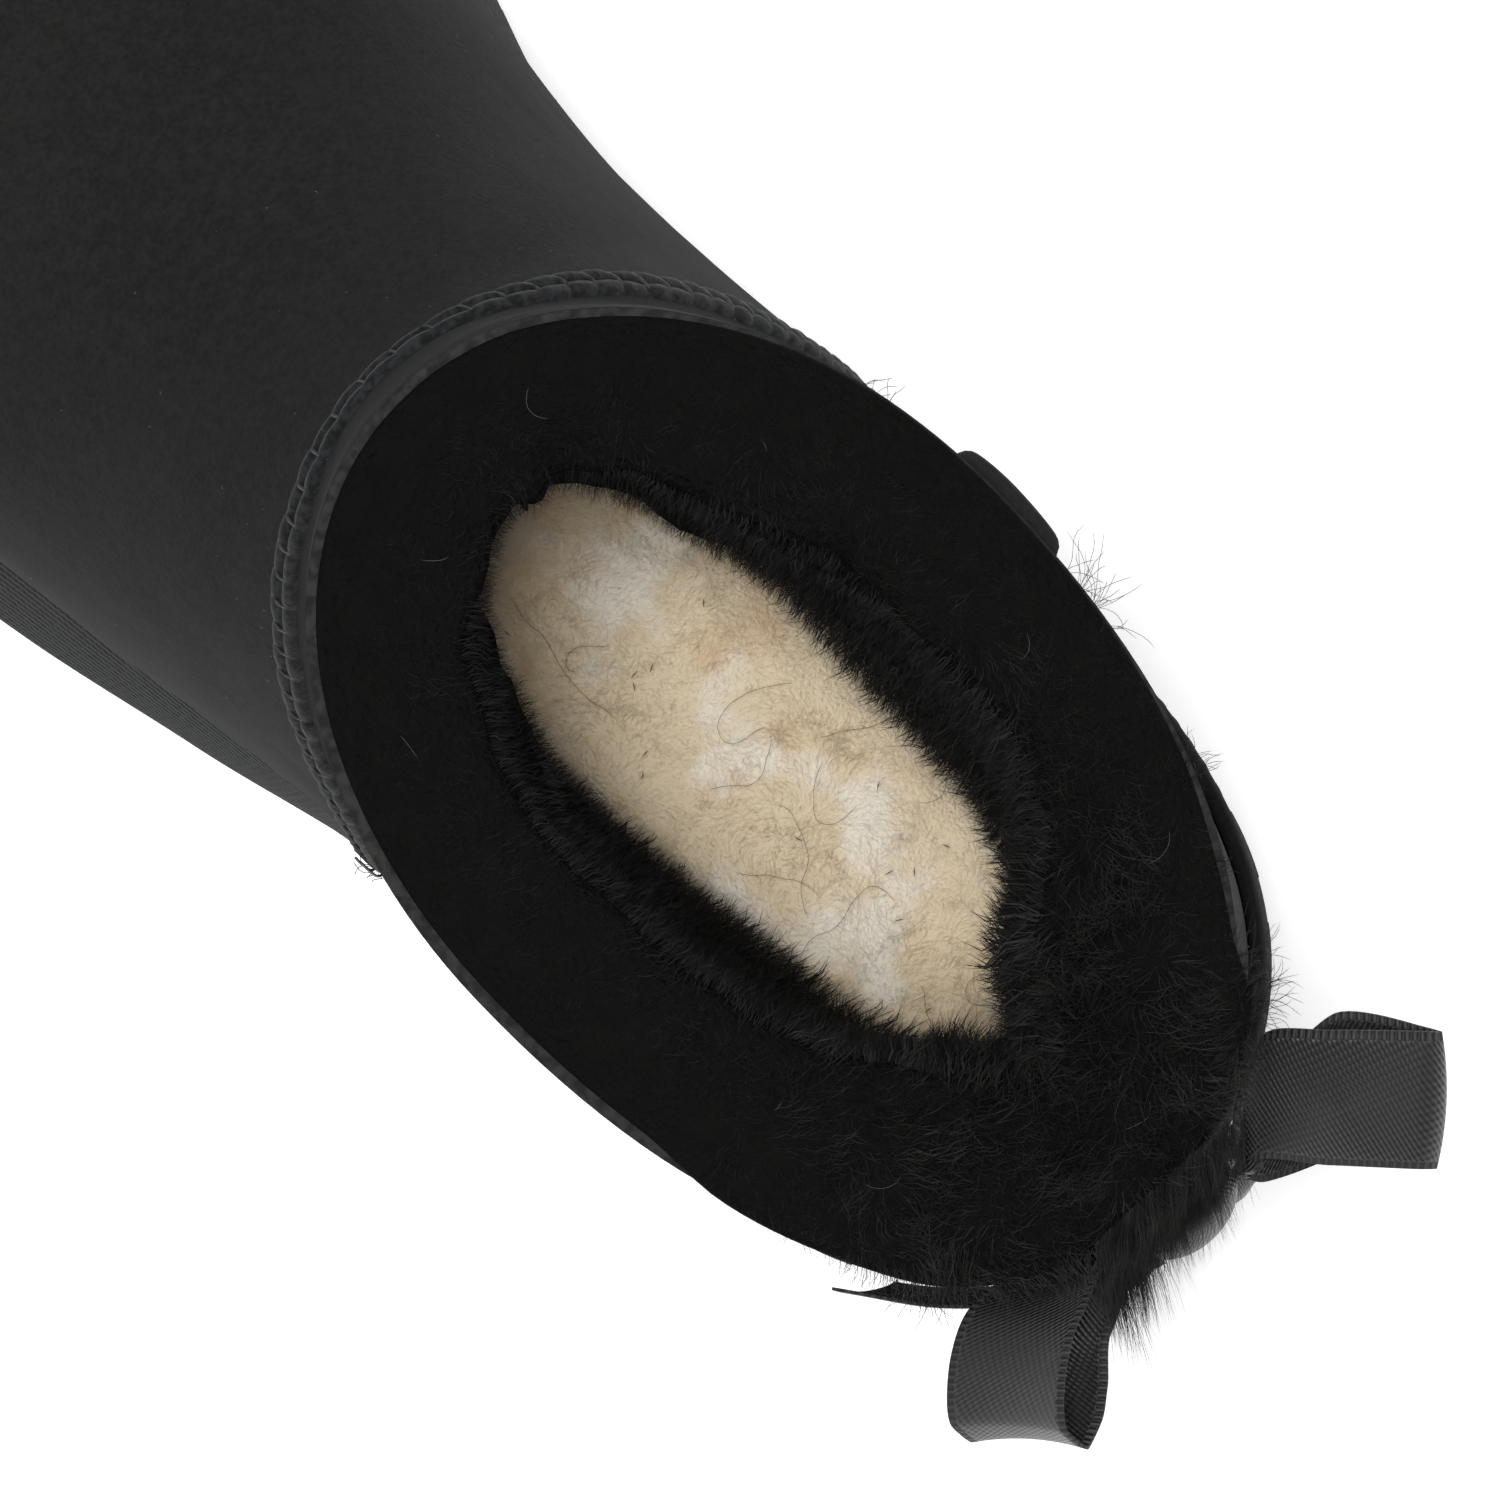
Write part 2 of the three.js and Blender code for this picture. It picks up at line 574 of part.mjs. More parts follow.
const assembly = new THREE.Group();
assembly.add(
  piece('outsole', outsole(), BLACK_FOAM, 0.85),
  piece('upper', upper(), BLACK_HIDE, 0.9),
  piece('insole', insole(), CREAM_WOOL, 1),
  piece('heel_counter', heelCounter(), BLACK_HIDE, 0.85),
  piece('bow_knot', bowKnot(), BLACK_SATIN, 0.45),
  piece('bow_loop_inner', ribbon(INNER_LOOP, 1), BLACK_SATIN, 0.45),
  piece('bow_loop_outer', ribbon(OUTER_LOOP, -1), BLACK_SATIN, 0.45),
  piece('bow_tail_inner', ribbon(INNER_TAIL, 1), BLACK_SATIN, 0.45),
  piece('bow_tail_outer', ribbon(OUTER_TAIL, -1), BLACK_SATIN, 0.45),
);
const extent = new THREE.Box3().setFromObject(assembly);
const centre = extent.getCenter(new THREE.Vector3());
assembly.position.set(-centre.x, -centre.y, -extent.min.z);

const boot = new THREE.Group();
boot.add(assembly);
export default boot;
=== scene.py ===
import json
import math
from collections import namedtuple

import bmesh
import bpy
import numpy as np
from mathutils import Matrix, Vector, noise

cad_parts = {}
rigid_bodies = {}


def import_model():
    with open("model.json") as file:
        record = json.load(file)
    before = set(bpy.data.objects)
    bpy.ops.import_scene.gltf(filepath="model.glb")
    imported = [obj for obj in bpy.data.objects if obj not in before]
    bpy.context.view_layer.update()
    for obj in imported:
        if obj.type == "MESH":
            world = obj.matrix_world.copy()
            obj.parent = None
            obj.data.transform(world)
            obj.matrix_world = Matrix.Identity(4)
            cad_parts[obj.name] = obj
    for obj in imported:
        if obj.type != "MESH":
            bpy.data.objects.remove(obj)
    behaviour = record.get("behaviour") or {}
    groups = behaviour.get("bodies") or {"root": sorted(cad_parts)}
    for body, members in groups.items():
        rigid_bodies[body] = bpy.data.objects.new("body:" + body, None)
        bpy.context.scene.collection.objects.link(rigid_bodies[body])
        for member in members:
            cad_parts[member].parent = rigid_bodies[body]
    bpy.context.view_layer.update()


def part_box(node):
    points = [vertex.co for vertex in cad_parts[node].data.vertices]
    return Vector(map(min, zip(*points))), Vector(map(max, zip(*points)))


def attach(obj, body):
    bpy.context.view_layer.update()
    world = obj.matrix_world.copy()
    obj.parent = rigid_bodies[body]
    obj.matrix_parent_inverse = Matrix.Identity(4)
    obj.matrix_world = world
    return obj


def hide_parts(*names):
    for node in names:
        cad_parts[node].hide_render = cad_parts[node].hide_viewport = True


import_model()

# ---- Studio --------------------------------------------------------------------------------------
# A white floor under a wide lamp straight above, which reaches down into the shaft, with weaker lamps
# at the sides. The camera looks straight down on the ankle, turned so that the toe is at a corner.

sole_low, sole_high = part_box("outsole")
knot_low, knot_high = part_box("bow_knot")
HEEL_POINT = Vector(((knot_low.x + knot_high.x) / 2, sole_low.y, 0))
ANKLE_POINT = HEEL_POINT + Vector((0, 0.066, 0))
CAMERA_HEIGHT = 1.339
CAMERA_TURN = math.radians(-43.54)

scene = bpy.context.scene
scene.view_settings.view_transform = "Standard"
camera_data = bpy.data.cameras.new("camera")
camera_data.sensor_width = 36
camera_data.lens = 298.8
camera_data.clip_start = 0.05
camera_data.clip_end = 20
camera = bpy.data.objects.new("camera", camera_data)
camera.location = ANKLE_POINT + Vector((0, 0, CAMERA_HEIGHT))
camera.rotation_euler = (0, 0, CAMERA_TURN)
scene.collection.objects.link(camera)
scene.camera = camera


def softbox(name, offset, size, power):
    """A square lamp that looks at the ankle from an offset in metres."""
    lamp = bpy.data.lights.new(name, "AREA")
    lamp.size = size
    lamp.energy = power
    light = bpy.data.objects.new(name, lamp)
    light.location = ANKLE_POINT + Vector(offset)
    light.rotation_euler = (-Vector(offset)).to_track_quat("-Z", "Y").to_euler()
    scene.collection.objects.link(light)


softbox("lamp_above", (-0.10, 0.155, 2.2), 0.55, 54)
softbox("lamp_outer", (-1.3, -0.1, 1.1), 0.9, 2.2)
softbox("lamp_inner", (1.1, -0.5, 1.0), 0.8, 3.5)

world = bpy.data.worlds.new("studio")
world.use_nodes = True
world.node_tree.nodes["Background"].inputs["Color"].default_value = (1, 1, 1, 1)
world.node_tree.nodes["Background"].inputs["Strength"].default_value = 0.3
scene.world = world


class Value:
    """A shader socket that takes part in sums, so that a pattern is written as a formula."""

    def __init__(self, finish, socket):
        self.finish, self.socket = finish, socket

    def math(self, operation, *terms):
        sockets = dict(enumerate(terms))
        return self.finish.node("ShaderNodeMath", {"operation": operation}, sockets)

    def __add__(self, other):
        return self.math("ADD", self, other)

    def __sub__(self, other):
        return self.math("SUBTRACT", self, other)

    def __rsub__(self, other):
        return self.math("SUBTRACT", other, self)

    def __mul__(self, other):
        return self.math("MULTIPLY", self, other)

    def __truediv__(self, other):
        return self.math("DIVIDE", self, other)

    def __pow__(self, other):
        return self.math("POWER", self, other)

    __radd__ = __add__
    __rmul__ = __mul__

    def sin(self):
        return self.math("SINE", self)

    def part(self, name):
        """One of x, y and z, where this is a vector."""
        return self.finish.node("ShaderNodeSeparateXYZ", {}, {0: self}, name.upper())

    def ramp(self, low, high):
        """0 below low, 1 above high, and smooth between."""
        sockets = {"Value": self, "From Min": low, "From Max": high}
        return self.finish.node("ShaderNodeMapRange", {"interpolation_type": "SMOOTHSTEP"}, sockets)


class Finish:
    """A material on a Principled shader, with its constants set on the shader's own sockets."""

    def __init__(self, name, constants):
        self.material = bpy.data.materials.new(name)
        self.material.use_nodes = True
        self.tree = self.material.node_tree
        self.shader = self.tree.nodes["Principled BSDF"]
        for socket, value in constants.items():
            self.shader.inputs[socket].default_value = value

    def node(self, kind, settings, sockets, out=0):
        made = self.tree.nodes.new(kind)
        for name, value in settings.items():
            setattr(made, name, value)
        for name, value in sockets.items():
            if isinstance(value, Value):
                self.tree.links.new(value.socket, made.inputs[name])
            else:
                made.inputs[name].default_value = value
        return Value(self, made.outputs[out])

    def place(self):
        return self.node("ShaderNodeTexCoord", {}, {}, "Object")

    def attribute(self, name):
        return self.node("ShaderNodeAttribute", {"attribute_name": name}, {}, "Vector")

    def noise(self, size, detail=3, stretch=None):
        """Noise from 0 to 1 whose features are about size millimetres across."""
        where = self.place()
        if stretch:
            sockets = {0: where, 1: stretch}
            where = self.node("ShaderNodeVectorMath", {"operation": "MULTIPLY"}, sockets)
        sockets = {"Vector": where, "Scale": 1000 / size, "Detail": detail}
        return self.node("ShaderNodeTexNoise", {}, sockets)

    def blend(self, share, first, second):
        sockets = {0: share, 6: first, 7: second}
        return self.node("ShaderNodeMix", {"data_type": "RGBA"}, sockets, 2)

    def set(self, socket, value):
        self.tree.links.new(value.socket, self.shader.inputs[socket])

    def relief(self, height, millimetres):
        """Bump whose full height is millimetres."""
        sockets = {"Height": height, "Distance": millimetres / 1000, "Strength": 1.0}
        self.set("Normal", self.node("ShaderNodeBump", {}, sockets))


def grey(level, warmth=0.0):
    """A near neutral colour, warmer above zero and cooler below."""
    return (level * (1 + warmth), level, level * (1 - warmth), 1)


floor_mesh = bpy.data.meshes.new("floor")
FLOOR_REACH = 4
corners = [(-1, -1), (1, -1), (1, 1), (-1, 1)]
floor_mesh.from_pydata([(x * FLOOR_REACH, y * FLOOR_REACH, 0) for x, y in corners], [], [(0, 1, 2, 3)])
floor = bpy.data.objects.new("floor", floor_mesh)
floor_look = {"Base Color": grey(0.9), "Roughness": 0.95,
              "Emission Color": grey(1), "Emission Strength": 0.36}
floor_finish = Finish("floor_paper", floor_look)
floor_mesh.materials.append(floor_finish.material)
scene.collection.objects.link(floor)

# ---- Last ----------------------------------------------------------------------------------------
# The form that the boot is made on, in millimetres, +Y forward from the back edge of the sole and +X
# towards the inner side of the foot. Each row is a section from the front line to the bottom and
# back line, from the toe cap round the heel and up to the collar. The last itself isn't shown.

SECTION_COLUMNS = "near_y near_z far_y far_z widest mid half ridge near_power far_power"
Section = namedtuple("Section", SECTION_COLUMNS)
SECTIONS = [
    Section(204, 73.5, 204, -22, 0.35, -2.8, 43.8, 3.0, 2.30, 2.0),        # toe cap
    Section(186, 79, 184, -27, 0.365, -3.8, 44.3, 4.0, 2.20, 2.0),         # toes
    Section(166, 86, 160, -31, 0.39, -4.8, 42.8, 4.5, 2.15, 2.0),          # ball
    Section(146, 95, 134, -32, 0.43, -5.3, 38.8, 4.5, 2.10, 2.0),          # waist
    Section(132, 104.5, 108, -32, 0.46, -4.8, 36.2, 4.0, 2.10, 2.0),       # instep
    Section(123, 113, 90, -32, 0.48, -3.4, 35.2, 2.5, 2.10, 2.1),          # throat
    Section(119.5, 117.5, 71, -33, 0.50, -2.1, 34.8, 1.2, 2.10, 2.2),      # front seam
    Section(117.8, 120.8, 42, -33, 0.50, -0.8, 34.7, 0.5, 2.12, 2.4),      # arch
    Section(116.9, 123.3, 15, -18, 0.50, -0.3, 34.0, 0, 2.14, 2.6),        # heel seat
    Section(116.2, 125.4, 6.6, 14, 0.50, 0, 33.4, 0, 2.15, 2.55),          # heel
    Section(115.7, 127.1, 5.4, 45, 0.48, 0, 33.6, 0, 2.15, 2.5),           # heel back
    Section(115.3, 128.6, 7, 82, 0.46, -0.3, 34.4, 0, 2.15, 2.3),          # ankle
    Section(115, 130, 9.5, 127, 0.46, -0.6, 35.4, 0, 2.05, 2.2),           # collar
]
COLLAR = len(SECTIONS) - 1
SOLE_LENGTH = (sole_high.y - sole_low.y) * 1000
UPPER_TOE = SOLE_LENGTH - 3.5
TOE_POWER = 2.15
TOE_TIP_HEIGHT = 41
TOE_CARRY = 0.8
TOE_START = -0.995
SoleSide = namedtuple("SoleSide", "y under top")
SOLE_SIDE = [
    SoleSide(0, 1.2, 22.5),
    SoleSide(9, 0, 22.5),
    SoleSide(68, 0, 22),
    SoleSide(98, 3, 20.5),
    SoleSide(132, 0, 18.5),
    SoleSide(182, 0, 17.5),
    SoleSide(206, 0.4, 18.2),
    SoleSide(235, 3.6, 21),
    SoleSide(SOLE_LENGTH, 9, 26),
]


def smooth(keys, values):
    """A smooth curve through a column of values, with no overshoot between its rows."""
    x, y = np.array(keys, float), np.array(values, float)
    step = np.diff(y) / np.diff(x)
    product, total = step[:-1] * step[1:], step[:-1] + step[1:]
    inner = np.where(product > 0, 2 * product / np.where(total == 0, 1, total), 0)
    slope = np.concatenate([step[:1], inner, step[-1:]])

    def at(place):
        place = np.asarray(place, float)
        k = np.clip(np.searchsorted(x, place, side="right") - 1, 0, len(x) - 2)
        span = x[k + 1] - x[k]
        t = (place - x[k]) / span
        start = (2 * t**3 - 3 * t**2 + 1) * y[k] + (t**3 - 2 * t**2 + t) * span * slope[k]
        end = (3 * t**2 - 2 * t**3) * y[k + 1] + (t**3 - t**2) * span * slope[k + 1]
        return np.where(t < 0, y[k] + slope[k] * t * span, start + end)

    return at


def columns(rows, key):
    """Each column of a table as a smooth curve along its key column, or along its row number."""
    keys = [getattr(row, key) for row in rows] if key else range(len(rows))
    return {name: smooth(keys, [getattr(row, name) for row in rows]) for name in rows[0]._fields}


FORM = columns(SECTIONS, None)
sole_side = columns(SOLE_SIDE, "y")


def sole_top(y):
    return sole_side["top"](np.clip(y, 0, SOLE_LENGTH))


def sole_under(y):
    return sole_side["under"](np.clip(y, 0, SOLE_LENGTH))


def skin(station, turn):
    """Point of the outside of the boot. Turn 0 is the front line, a quarter turn the inner side."""
    station, turn = np.broadcast_arrays(np.asarray(station, float), np.asarray(turn, float))
    at = {name: column(np.maximum(station, 0)) for name, column in FORM.items()}
    first, second = SECTIONS[0], SECTIONS[1]
    swing = (1 + np.clip(station, -1, 0)) * math.pi / 2
    forward = np.cos(swing) ** (2 / TOE_POWER) * (UPPER_TOE - first.near_y)
    size = np.sin(swing) ** (2 / TOE_POWER)
    ahead = TOE_CARRY * forward / (first.near_y - second.near_y)
    for name in ("mid", "half", "near_z", "ridge"):
        at[name] = at[name] + ahead * (getattr(first, name) - getattr(second, name))
    c, s = np.cos(turn), np.sin(turn)
    power = np.where(c > 0, at["near_power"], at["far_power"])
    reach = np.abs(c) ** (2 / power)
    near_share = at["widest"] * (1 - reach)
    far_share = at["widest"] + (1 - at["widest"]) * reach
    share = np.where(c > 0, near_share, far_share)
    side = np.sign(s) * np.abs(s) ** (2 / power)
    lean = np.where(c > 0, at["ridge"] * size * c * c, 0)
    near_z = TOE_TIP_HEIGHT + (at["near_z"] - TOE_TIP_HEIGHT) * size
    far_z = TOE_TIP_HEIGHT + (at["far_z"] - TOE_TIP_HEIGHT) * size
    x = at["mid"] + at["half"] * size * side + lean
    y = at["near_y"] + forward + (at["far_y"] - at["near_y"]) * share
    z = near_z + (far_z - near_z) * share
    return np.stack([x, y, z], -1)


def unit(vectors):
    return vectors / np.maximum(np.linalg.norm(vectors, axis=-1, keepdims=True), 1e-12)


def outward(station, turn):
    """The skin's outward normal."""
    step = 0.02
    station, turn = np.broadcast_arrays(np.asarray(station, float), np.asarray(turn, float))
    back = np.minimum(station + step, COLLAR)
    front = np.maximum(back - 2 * step, -0.99)
    lengthways = skin(back, turn) - skin(front, turn)
    around = skin(station, turn + step) - skin(station, turn - step)
    return unit(np.cross(lengthways, around))


def body(station, turn, out):
    """Point at a distance out from the skin, or inside it below zero."""
    return skin(station, turn) + outward(station, turn) * np.asarray(out)[..., None]


def foot_turn(station, out, rise):
    """The turn at which a section comes down to a height above the top of the sole."""
    station = np.asarray(station, float)
    low, high = np.zeros(station.shape), np.full(station.shape, math.pi)
    for _ in range(24):
        middle = (low + high) / 2
        point = body(station, middle, out)
        above = point[..., 2] - sole_top(point[..., 1]) > rise
        low, high = np.where(above, middle, low), np.where(above, high, middle)
    return high


def even_stations(count, out, rise, first=TOE_START):
    """Stations that share out the way along the front line and the foot line."""
    fine = np.linspace(first, COLLAR, 1600)
    turn = foot_turn(fine, out, rise)
    moves = [body(fine, 0 * fine, out), body(fine, turn, out)]
    travel = sum(np.linalg.norm(np.diff(line, axis=0), axis=1) for line in moves)
    so_far = np.concatenate([[0], np.cumsum(travel)])
    return np.interp(np.linspace(0, so_far[-1], count), so_far, fine)


def foot_line(out, rise):
    """Where the skin meets that height: its middle and half width along y, from back to front."""
    station = even_stations(700, out, rise)
    turn = foot_turn(station, out, rise)
    station, turn = station[turn < math.pi], turn[turn < math.pi]
    inner, outer = body(station, turn, out), body(station, -turn, out)
    order = np.argsort(inner[:, 1])
    y = inner[order, 1]
    mid, half = (inner + outer)[order, 0] / 2, (inner - outer)[order, 0] / 2
    return y, mid, half


def grid_faces(row_count, column_count, start=0, closed=False):
    """Faces of a grid of points, row by row. A closed grid's last column joins its first."""
    index = start + np.arange(row_count * column_count).reshape(row_count, column_count)
    if closed:
        index = np.concatenate([index, index[:, :1]], axis=1)
    corners = [index[:-1, :-1], index[:-1, 1:], index[1:, 1:], index[1:, :-1]]
    return np.stack([corner.ravel() for corner in corners], -1).tolist()


def piece(name, points, faces, finish, slot_name, attributes=None, merge=1e-4, recalc=True):
    """A mesh from points in the last's millimetres, in its place on the boot."""
    mesh = bpy.data.meshes.new(name)
    metres = np.asarray(points, float).reshape(-1, 3) / 1000 + np.array(HEEL_POINT)
    mesh.from_pydata(metres.tolist(), [], faces)
    for key, values in (attributes or {}).items():
        values = np.asarray(values, np.float32)
        kind, field = ("FLOAT", "value") if values.ndim == 1 else ("FLOAT_VECTOR", "vector")
        mesh.attributes.new(key, kind, "POINT").data.foreach_set(field, values.ravel())
    work = bmesh.new()
    work.from_mesh(mesh)
    if merge:
        bmesh.ops.remove_doubles(work, verts=work.verts, dist=merge / 1000)
        bmesh.ops.dissolve_degenerate(work, edges=work.edges, dist=merge / 1000)
    if recalc:
        bmesh.ops.recalc_face_normals(work, faces=work.faces)
    for face in work.faces:
        face.smooth = True
    work.to_mesh(mesh)
    work.free()
    mesh.materials.append(finish.material)
    made = bpy.data.objects.new(name, mesh)
    scene.collection.objects.link(made)
    return made


# ---- Outsole -------------------------------------------------------------------------------------
# One block of foam, moulded with a fine woven texture round its side, a rounded tread edge and
# chevron grooves that leave the lugs of the heel and the forefoot. The upper is cemented to its top.

HEEL_RADIUS = 34
TOE_ROUND_START = 206
SOLE_LIP = 1.0
SOLE_EDGE = 2.2
GROOVE_WIDTH = 5
GROOVE_DEPTH = 3
GROOVE_PITCH = 13
GROOVE_RISE = 9
SolePlan = namedtuple("SolePlan", "y mid half")
SOLE_PLAN = [
    SolePlan(0, 0, 34),
    SolePlan(34, 0, 34),
    SolePlan(71, -0.8, 34),
    SolePlan(84, -2.6, 34.2),
    SolePlan(107, -6.2, 36.6),
    SolePlan(130, -8.2, 40.2),
    SolePlan(147, -7.4, 44.4),
    SolePlan(166, -5.8, 47.6),
    SolePlan(186, -4.2, 48.6),
    SolePlan(206, -2.5, 48),
    SolePlan(SOLE_LENGTH, 2.5, 45),
]
sole_plan = columns(SOLE_PLAN, "y")
SOLE_AROUND = 360


def sole_half(y):
    half = sole_plan["half"](y)
    heel = np.sqrt(np.clip(1 - (1 - y / HEEL_RADIUS) ** 2, 0, 1))
    share = np.clip((y - TOE_ROUND_START) / (SOLE_LENGTH - TOE_ROUND_START), 0, 1)
    toe = np.clip(1 - share**TOE_POWER, 0, 1) ** (1 / TOE_POWER)
    return half * np.where(y < HEEL_RADIUS, heel, 1) * toe


def outline(back, front, plan):
    """A closed outline [x, y] round the foot, whose points k and -k face each other across it."""
    angle = np.arange(SOLE_AROUND) * 2 * math.pi / SOLE_AROUND
    y = (front + back) / 2 + (front - back) / 2 * np.cos(angle)
    mid, half = plan(y)
    side = np.where(np.arange(SOLE_AROUND) % (SOLE_AROUND // 2) == 0, 0, np.sign(np.sin(angle)))
    return np.stack([mid + side * half, y], -1)


def tread_outline(inset):
    def plan(y):
        return sole_plan["mid"](y), np.maximum(sole_half(y) - inset, 0)
    return outline(inset, SOLE_LENGTH - inset, plan)


feather_y, feather_mid, feather_half = foot_line(0, 0)


def top_outline(lip):
    back, front = feather_y[0], feather_y[-1]

    def plan(y):
        place = back + (y - back + lip) / (front - back + 2 * lip) * (front - back)
        grown = 1 + lip / feather_half.max()
        half = np.interp(place, feather_y, feather_half) * grown
        return np.interp(place, feather_y, feather_mid), half
    return outline(back - lip, front + lip, plan)


def sole_levels():
    """Rings up the side of the sole, each with its outline, its heights and how far it is textured."""
    wide, foot = tread_outline(0), top_outline(SOLE_LIP)
    under, over = sole_under(wide[:, 1]), sole_top(foot[:, 1])
    for angle in np.linspace(0, math.pi / 2, 6):
        inset = SOLE_EDGE * (1 - math.sin(angle))
        yield tread_outline(inset), under + SOLE_EDGE * (1 - math.cos(angle)), 0
    low, high = under + SOLE_EDGE, over - SOLE_LIP
    for share in np.linspace(0, 1, 15)[1:]:
        bulge = 1 + 0.012 * math.sin(math.pi * share)
        middle = sole_plan["mid"](wide[:, 1])[:, None] * [1, 0]
        ring = (wide * (1 - share) + foot * share - middle) * [bulge, 1] + middle
        yield ring, low * (1 - share) + high * share, 1
    for angle in np.linspace(0, math.pi / 2, 5)[1:]:
        lip = SOLE_LIP * math.cos(angle)
        yield top_outline(lip), over - SOLE_LIP * (1 - math.sin(angle)), 1


levels = list(sole_levels())
sole_points = np.concatenate([np.column_stack([ring, height]) for ring, height, _ in levels])
run = np.concatenate([[0], np.cumsum(np.linalg.norm(np.diff(levels[0][0], axis=0), axis=1))])
run[SOLE_AROUND // 2:] = run[SOLE_AROUND // 2:0:-1]
sole_wrap = np.concatenate([
    np.column_stack([run, height, np.full(SOLE_AROUND, textured)]) for ring, height, textured in levels
])
sole_faces = grid_faces(len(levels), SOLE_AROUND, closed=True)
for start in (0, (len(levels) - 1) * SOLE_AROUND):
    for k in range(SOLE_AROUND // 2):
        strip = [k, k + 1, (SOLE_AROUND - k - 1) % SOLE_AROUND, (SOLE_AROUND - k) % SOLE_AROUND]
        sole_faces.append(list(dict.fromkeys(start + corner for corner in strip)))

foam = Finish("foam_sole", {"Roughness": 0.8, "Specular IOR Level": 0.15, "Sheen Weight": 0.03})
wrap = foam.attribute("wrap")
along, up, woven = wrap.part("x"), wrap.part("y"), wrap.part("z")
THREAD = 0.95
course = (up * (2 * math.pi / THREAD)).sin()
float_over = ((along + up * 0.7) * (2 * math.pi / THREAD)).sin() * 0.6
weave = (course + float_over) * woven + foam.noise(0.35) * 0.8
foam.relief(weave, 0.16)
mottle = foam.noise(1.1) * 0.6 + foam.noise(14) * 0.4
foam.set("Base Color", foam.blend(mottle.ramp(0.3, 0.7), grey(0.013, -0.05), grey(0.022, -0.05)))

sole_attributes = {"wrap": sole_wrap}
sole = piece("sole_foam", sole_points, sole_faces, foam, "foam_sole", sole_attributes)


def chevrons():
    """Every groove as one mesh of prisms, from below the floor up into the tread."""
    reach, below, half = 60, 5, GROOVE_WIDTH / 2
    points, faces = [], []
    for first, last in ((16, 60), (146, 250)):
        for y in np.arange(first, last + 1, GROOVE_PITCH):
            edge = [(-reach, -1, -1), (0, 1, -1), (reach, -1, -1), (reach, -1, 1), (0, 1, 1), (-reach, -1, 1)]
            top = sole_under(y) + GROOVE_DEPTH
            start = len(points)
            for z in (-below, top):
                points += [(x, y + arm * GROOVE_RISE + side * half, z) for x, arm, side in edge]
            faces += [[start + k for k in quad] for quad in ((0, 1, 4, 5), (1, 2, 3, 4))]
            faces += [[start + 6 + k for k in quad] for quad in ((5, 4, 1, 0), (4, 3, 2, 1))]
            faces += [[start + k, start + (k + 1) % 6, start + 6 + (k + 1) % 6, start + 6 + k]
                      for k in range(6)]
    return points, faces


grooves = piece("grooves", *chevrons(), foam, None)
cut = sole.modifiers.new("grooves", "BOOLEAN")
cut.operation = "DIFFERENCE"
cut.solver = "EXACT"
cut.object = grooves


def settle(made):
    """Turns what an object's modifiers make into its plain mesh."""
    seen = made.evaluated_get(bpy.context.evaluated_depsgraph_get())
    mesh = bpy.data.meshes.new_from_object(seen, depsgraph=bpy.context.evaluated_depsgraph_get())
    mesh.name = made.name
    made.modifiers.clear()
    made.data = mesh
    return made


settle(sole)
bpy.data.objects.remove(grooves)
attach(sole, "root")
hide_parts("outsole")

# ---- Insole --------------------------------------------------------------------------------------
# A loose board cushioned with undyed fleece, cream with whiter and tanned patches. The pile is matted
# into flat locks that lie in swirls, with a few coarse dark hairs left in it.

WALL = 16
GAP = 0.3
INSOLE_THICKNESS = 12
INSOLE_ROWS, INSOLE_COLUMNS = 190, 64


def lumps(points, size, seed):
    """Smooth noise from -1 to 1 at each point, with lumps about size millimetres across."""
    shift = Vector((seed * 7.3, seed * 3.1, -seed * 5.7))
    return np.array([noise.noise(Vector(point) / size + shift) for point in points.reshape(-1, 3)])


def swirl(points, size, seed):
    """A smooth field of directions at each point, with lumps about size millimetres across."""
    shift = Vector((seed * 4.9, -seed * 6.1, seed * 2.3))
    flat = points.reshape(-1, 3)
    return np.array([noise.noise_vector(Vector(point) / size + shift) for point in flat])


pad_y, pad_mid, pad_half = foot_line(-WALL - GAP, 5)
angle = np.linspace(0, math.pi, INSOLE_ROWS)[:, None]
across = np.sin(np.linspace(-1, 1, INSOLE_COLUMNS) * math.pi / 2)[None, :]
y = (pad_y[0] + pad_y[-1]) / 2 + (pad_y[-1] - pad_y[0]) / 2 * np.cos(angle) + 0 * across
half_here = np.interp(y, pad_y, pad_half)
x = np.interp(y, pad_y, pad_mid) + half_here * across
fullness = (1 - np.abs(across) ** 7) * (1 - np.abs(np.cos(angle)) ** 40)
pad_top = np.stack([x, y, sole_top(y) + GAP + INSOLE_THICKNESS * fullness], -1)
heave = lumps(pad_top, 15, 1) * 1.5 + lumps(pad_top, 6, 2) * 0.9 + lumps(pad_top, 2.6, 3) * 0.4
pad_top[..., 2] += heave.reshape(y.shape) * fullness
pad_under = np.stack([x, y, sole_top(y) + GAP], -1)
pad_count = INSOLE_ROWS * INSOLE_COLUMNS
pad_points = np.concatenate([pad_top.reshape(-1, 3), pad_under.reshape(-1, 3)])
pad_faces = grid_faces(INSOLE_ROWS, INSOLE_COLUMNS) + grid_faces(INSOLE_ROWS, INSOLE_COLUMNS, pad_count)

CREAM_LINEAR = (0.60, 0.50, 0.355, 1)
WHITE_LINEAR = (0.68, 0.63, 0.54, 1)
TAN_LINEAR = (0.50, 0.34, 0.20, 1)


def fleece_colour(finish):
    """Cream with whiter locks and tanned patches."""
    locks = finish.noise(11, 4).ramp(0.50, 0.68)
    tanned = finish.noise(9, 6, (1, 1, 0.2)).ramp(0.54, 0.78)
    pale = finish.blend(locks, CREAM_LINEAR, WHITE_LINEAR)
    return finish.blend(tanned * 0.6, pale, TAN_LINEAR)


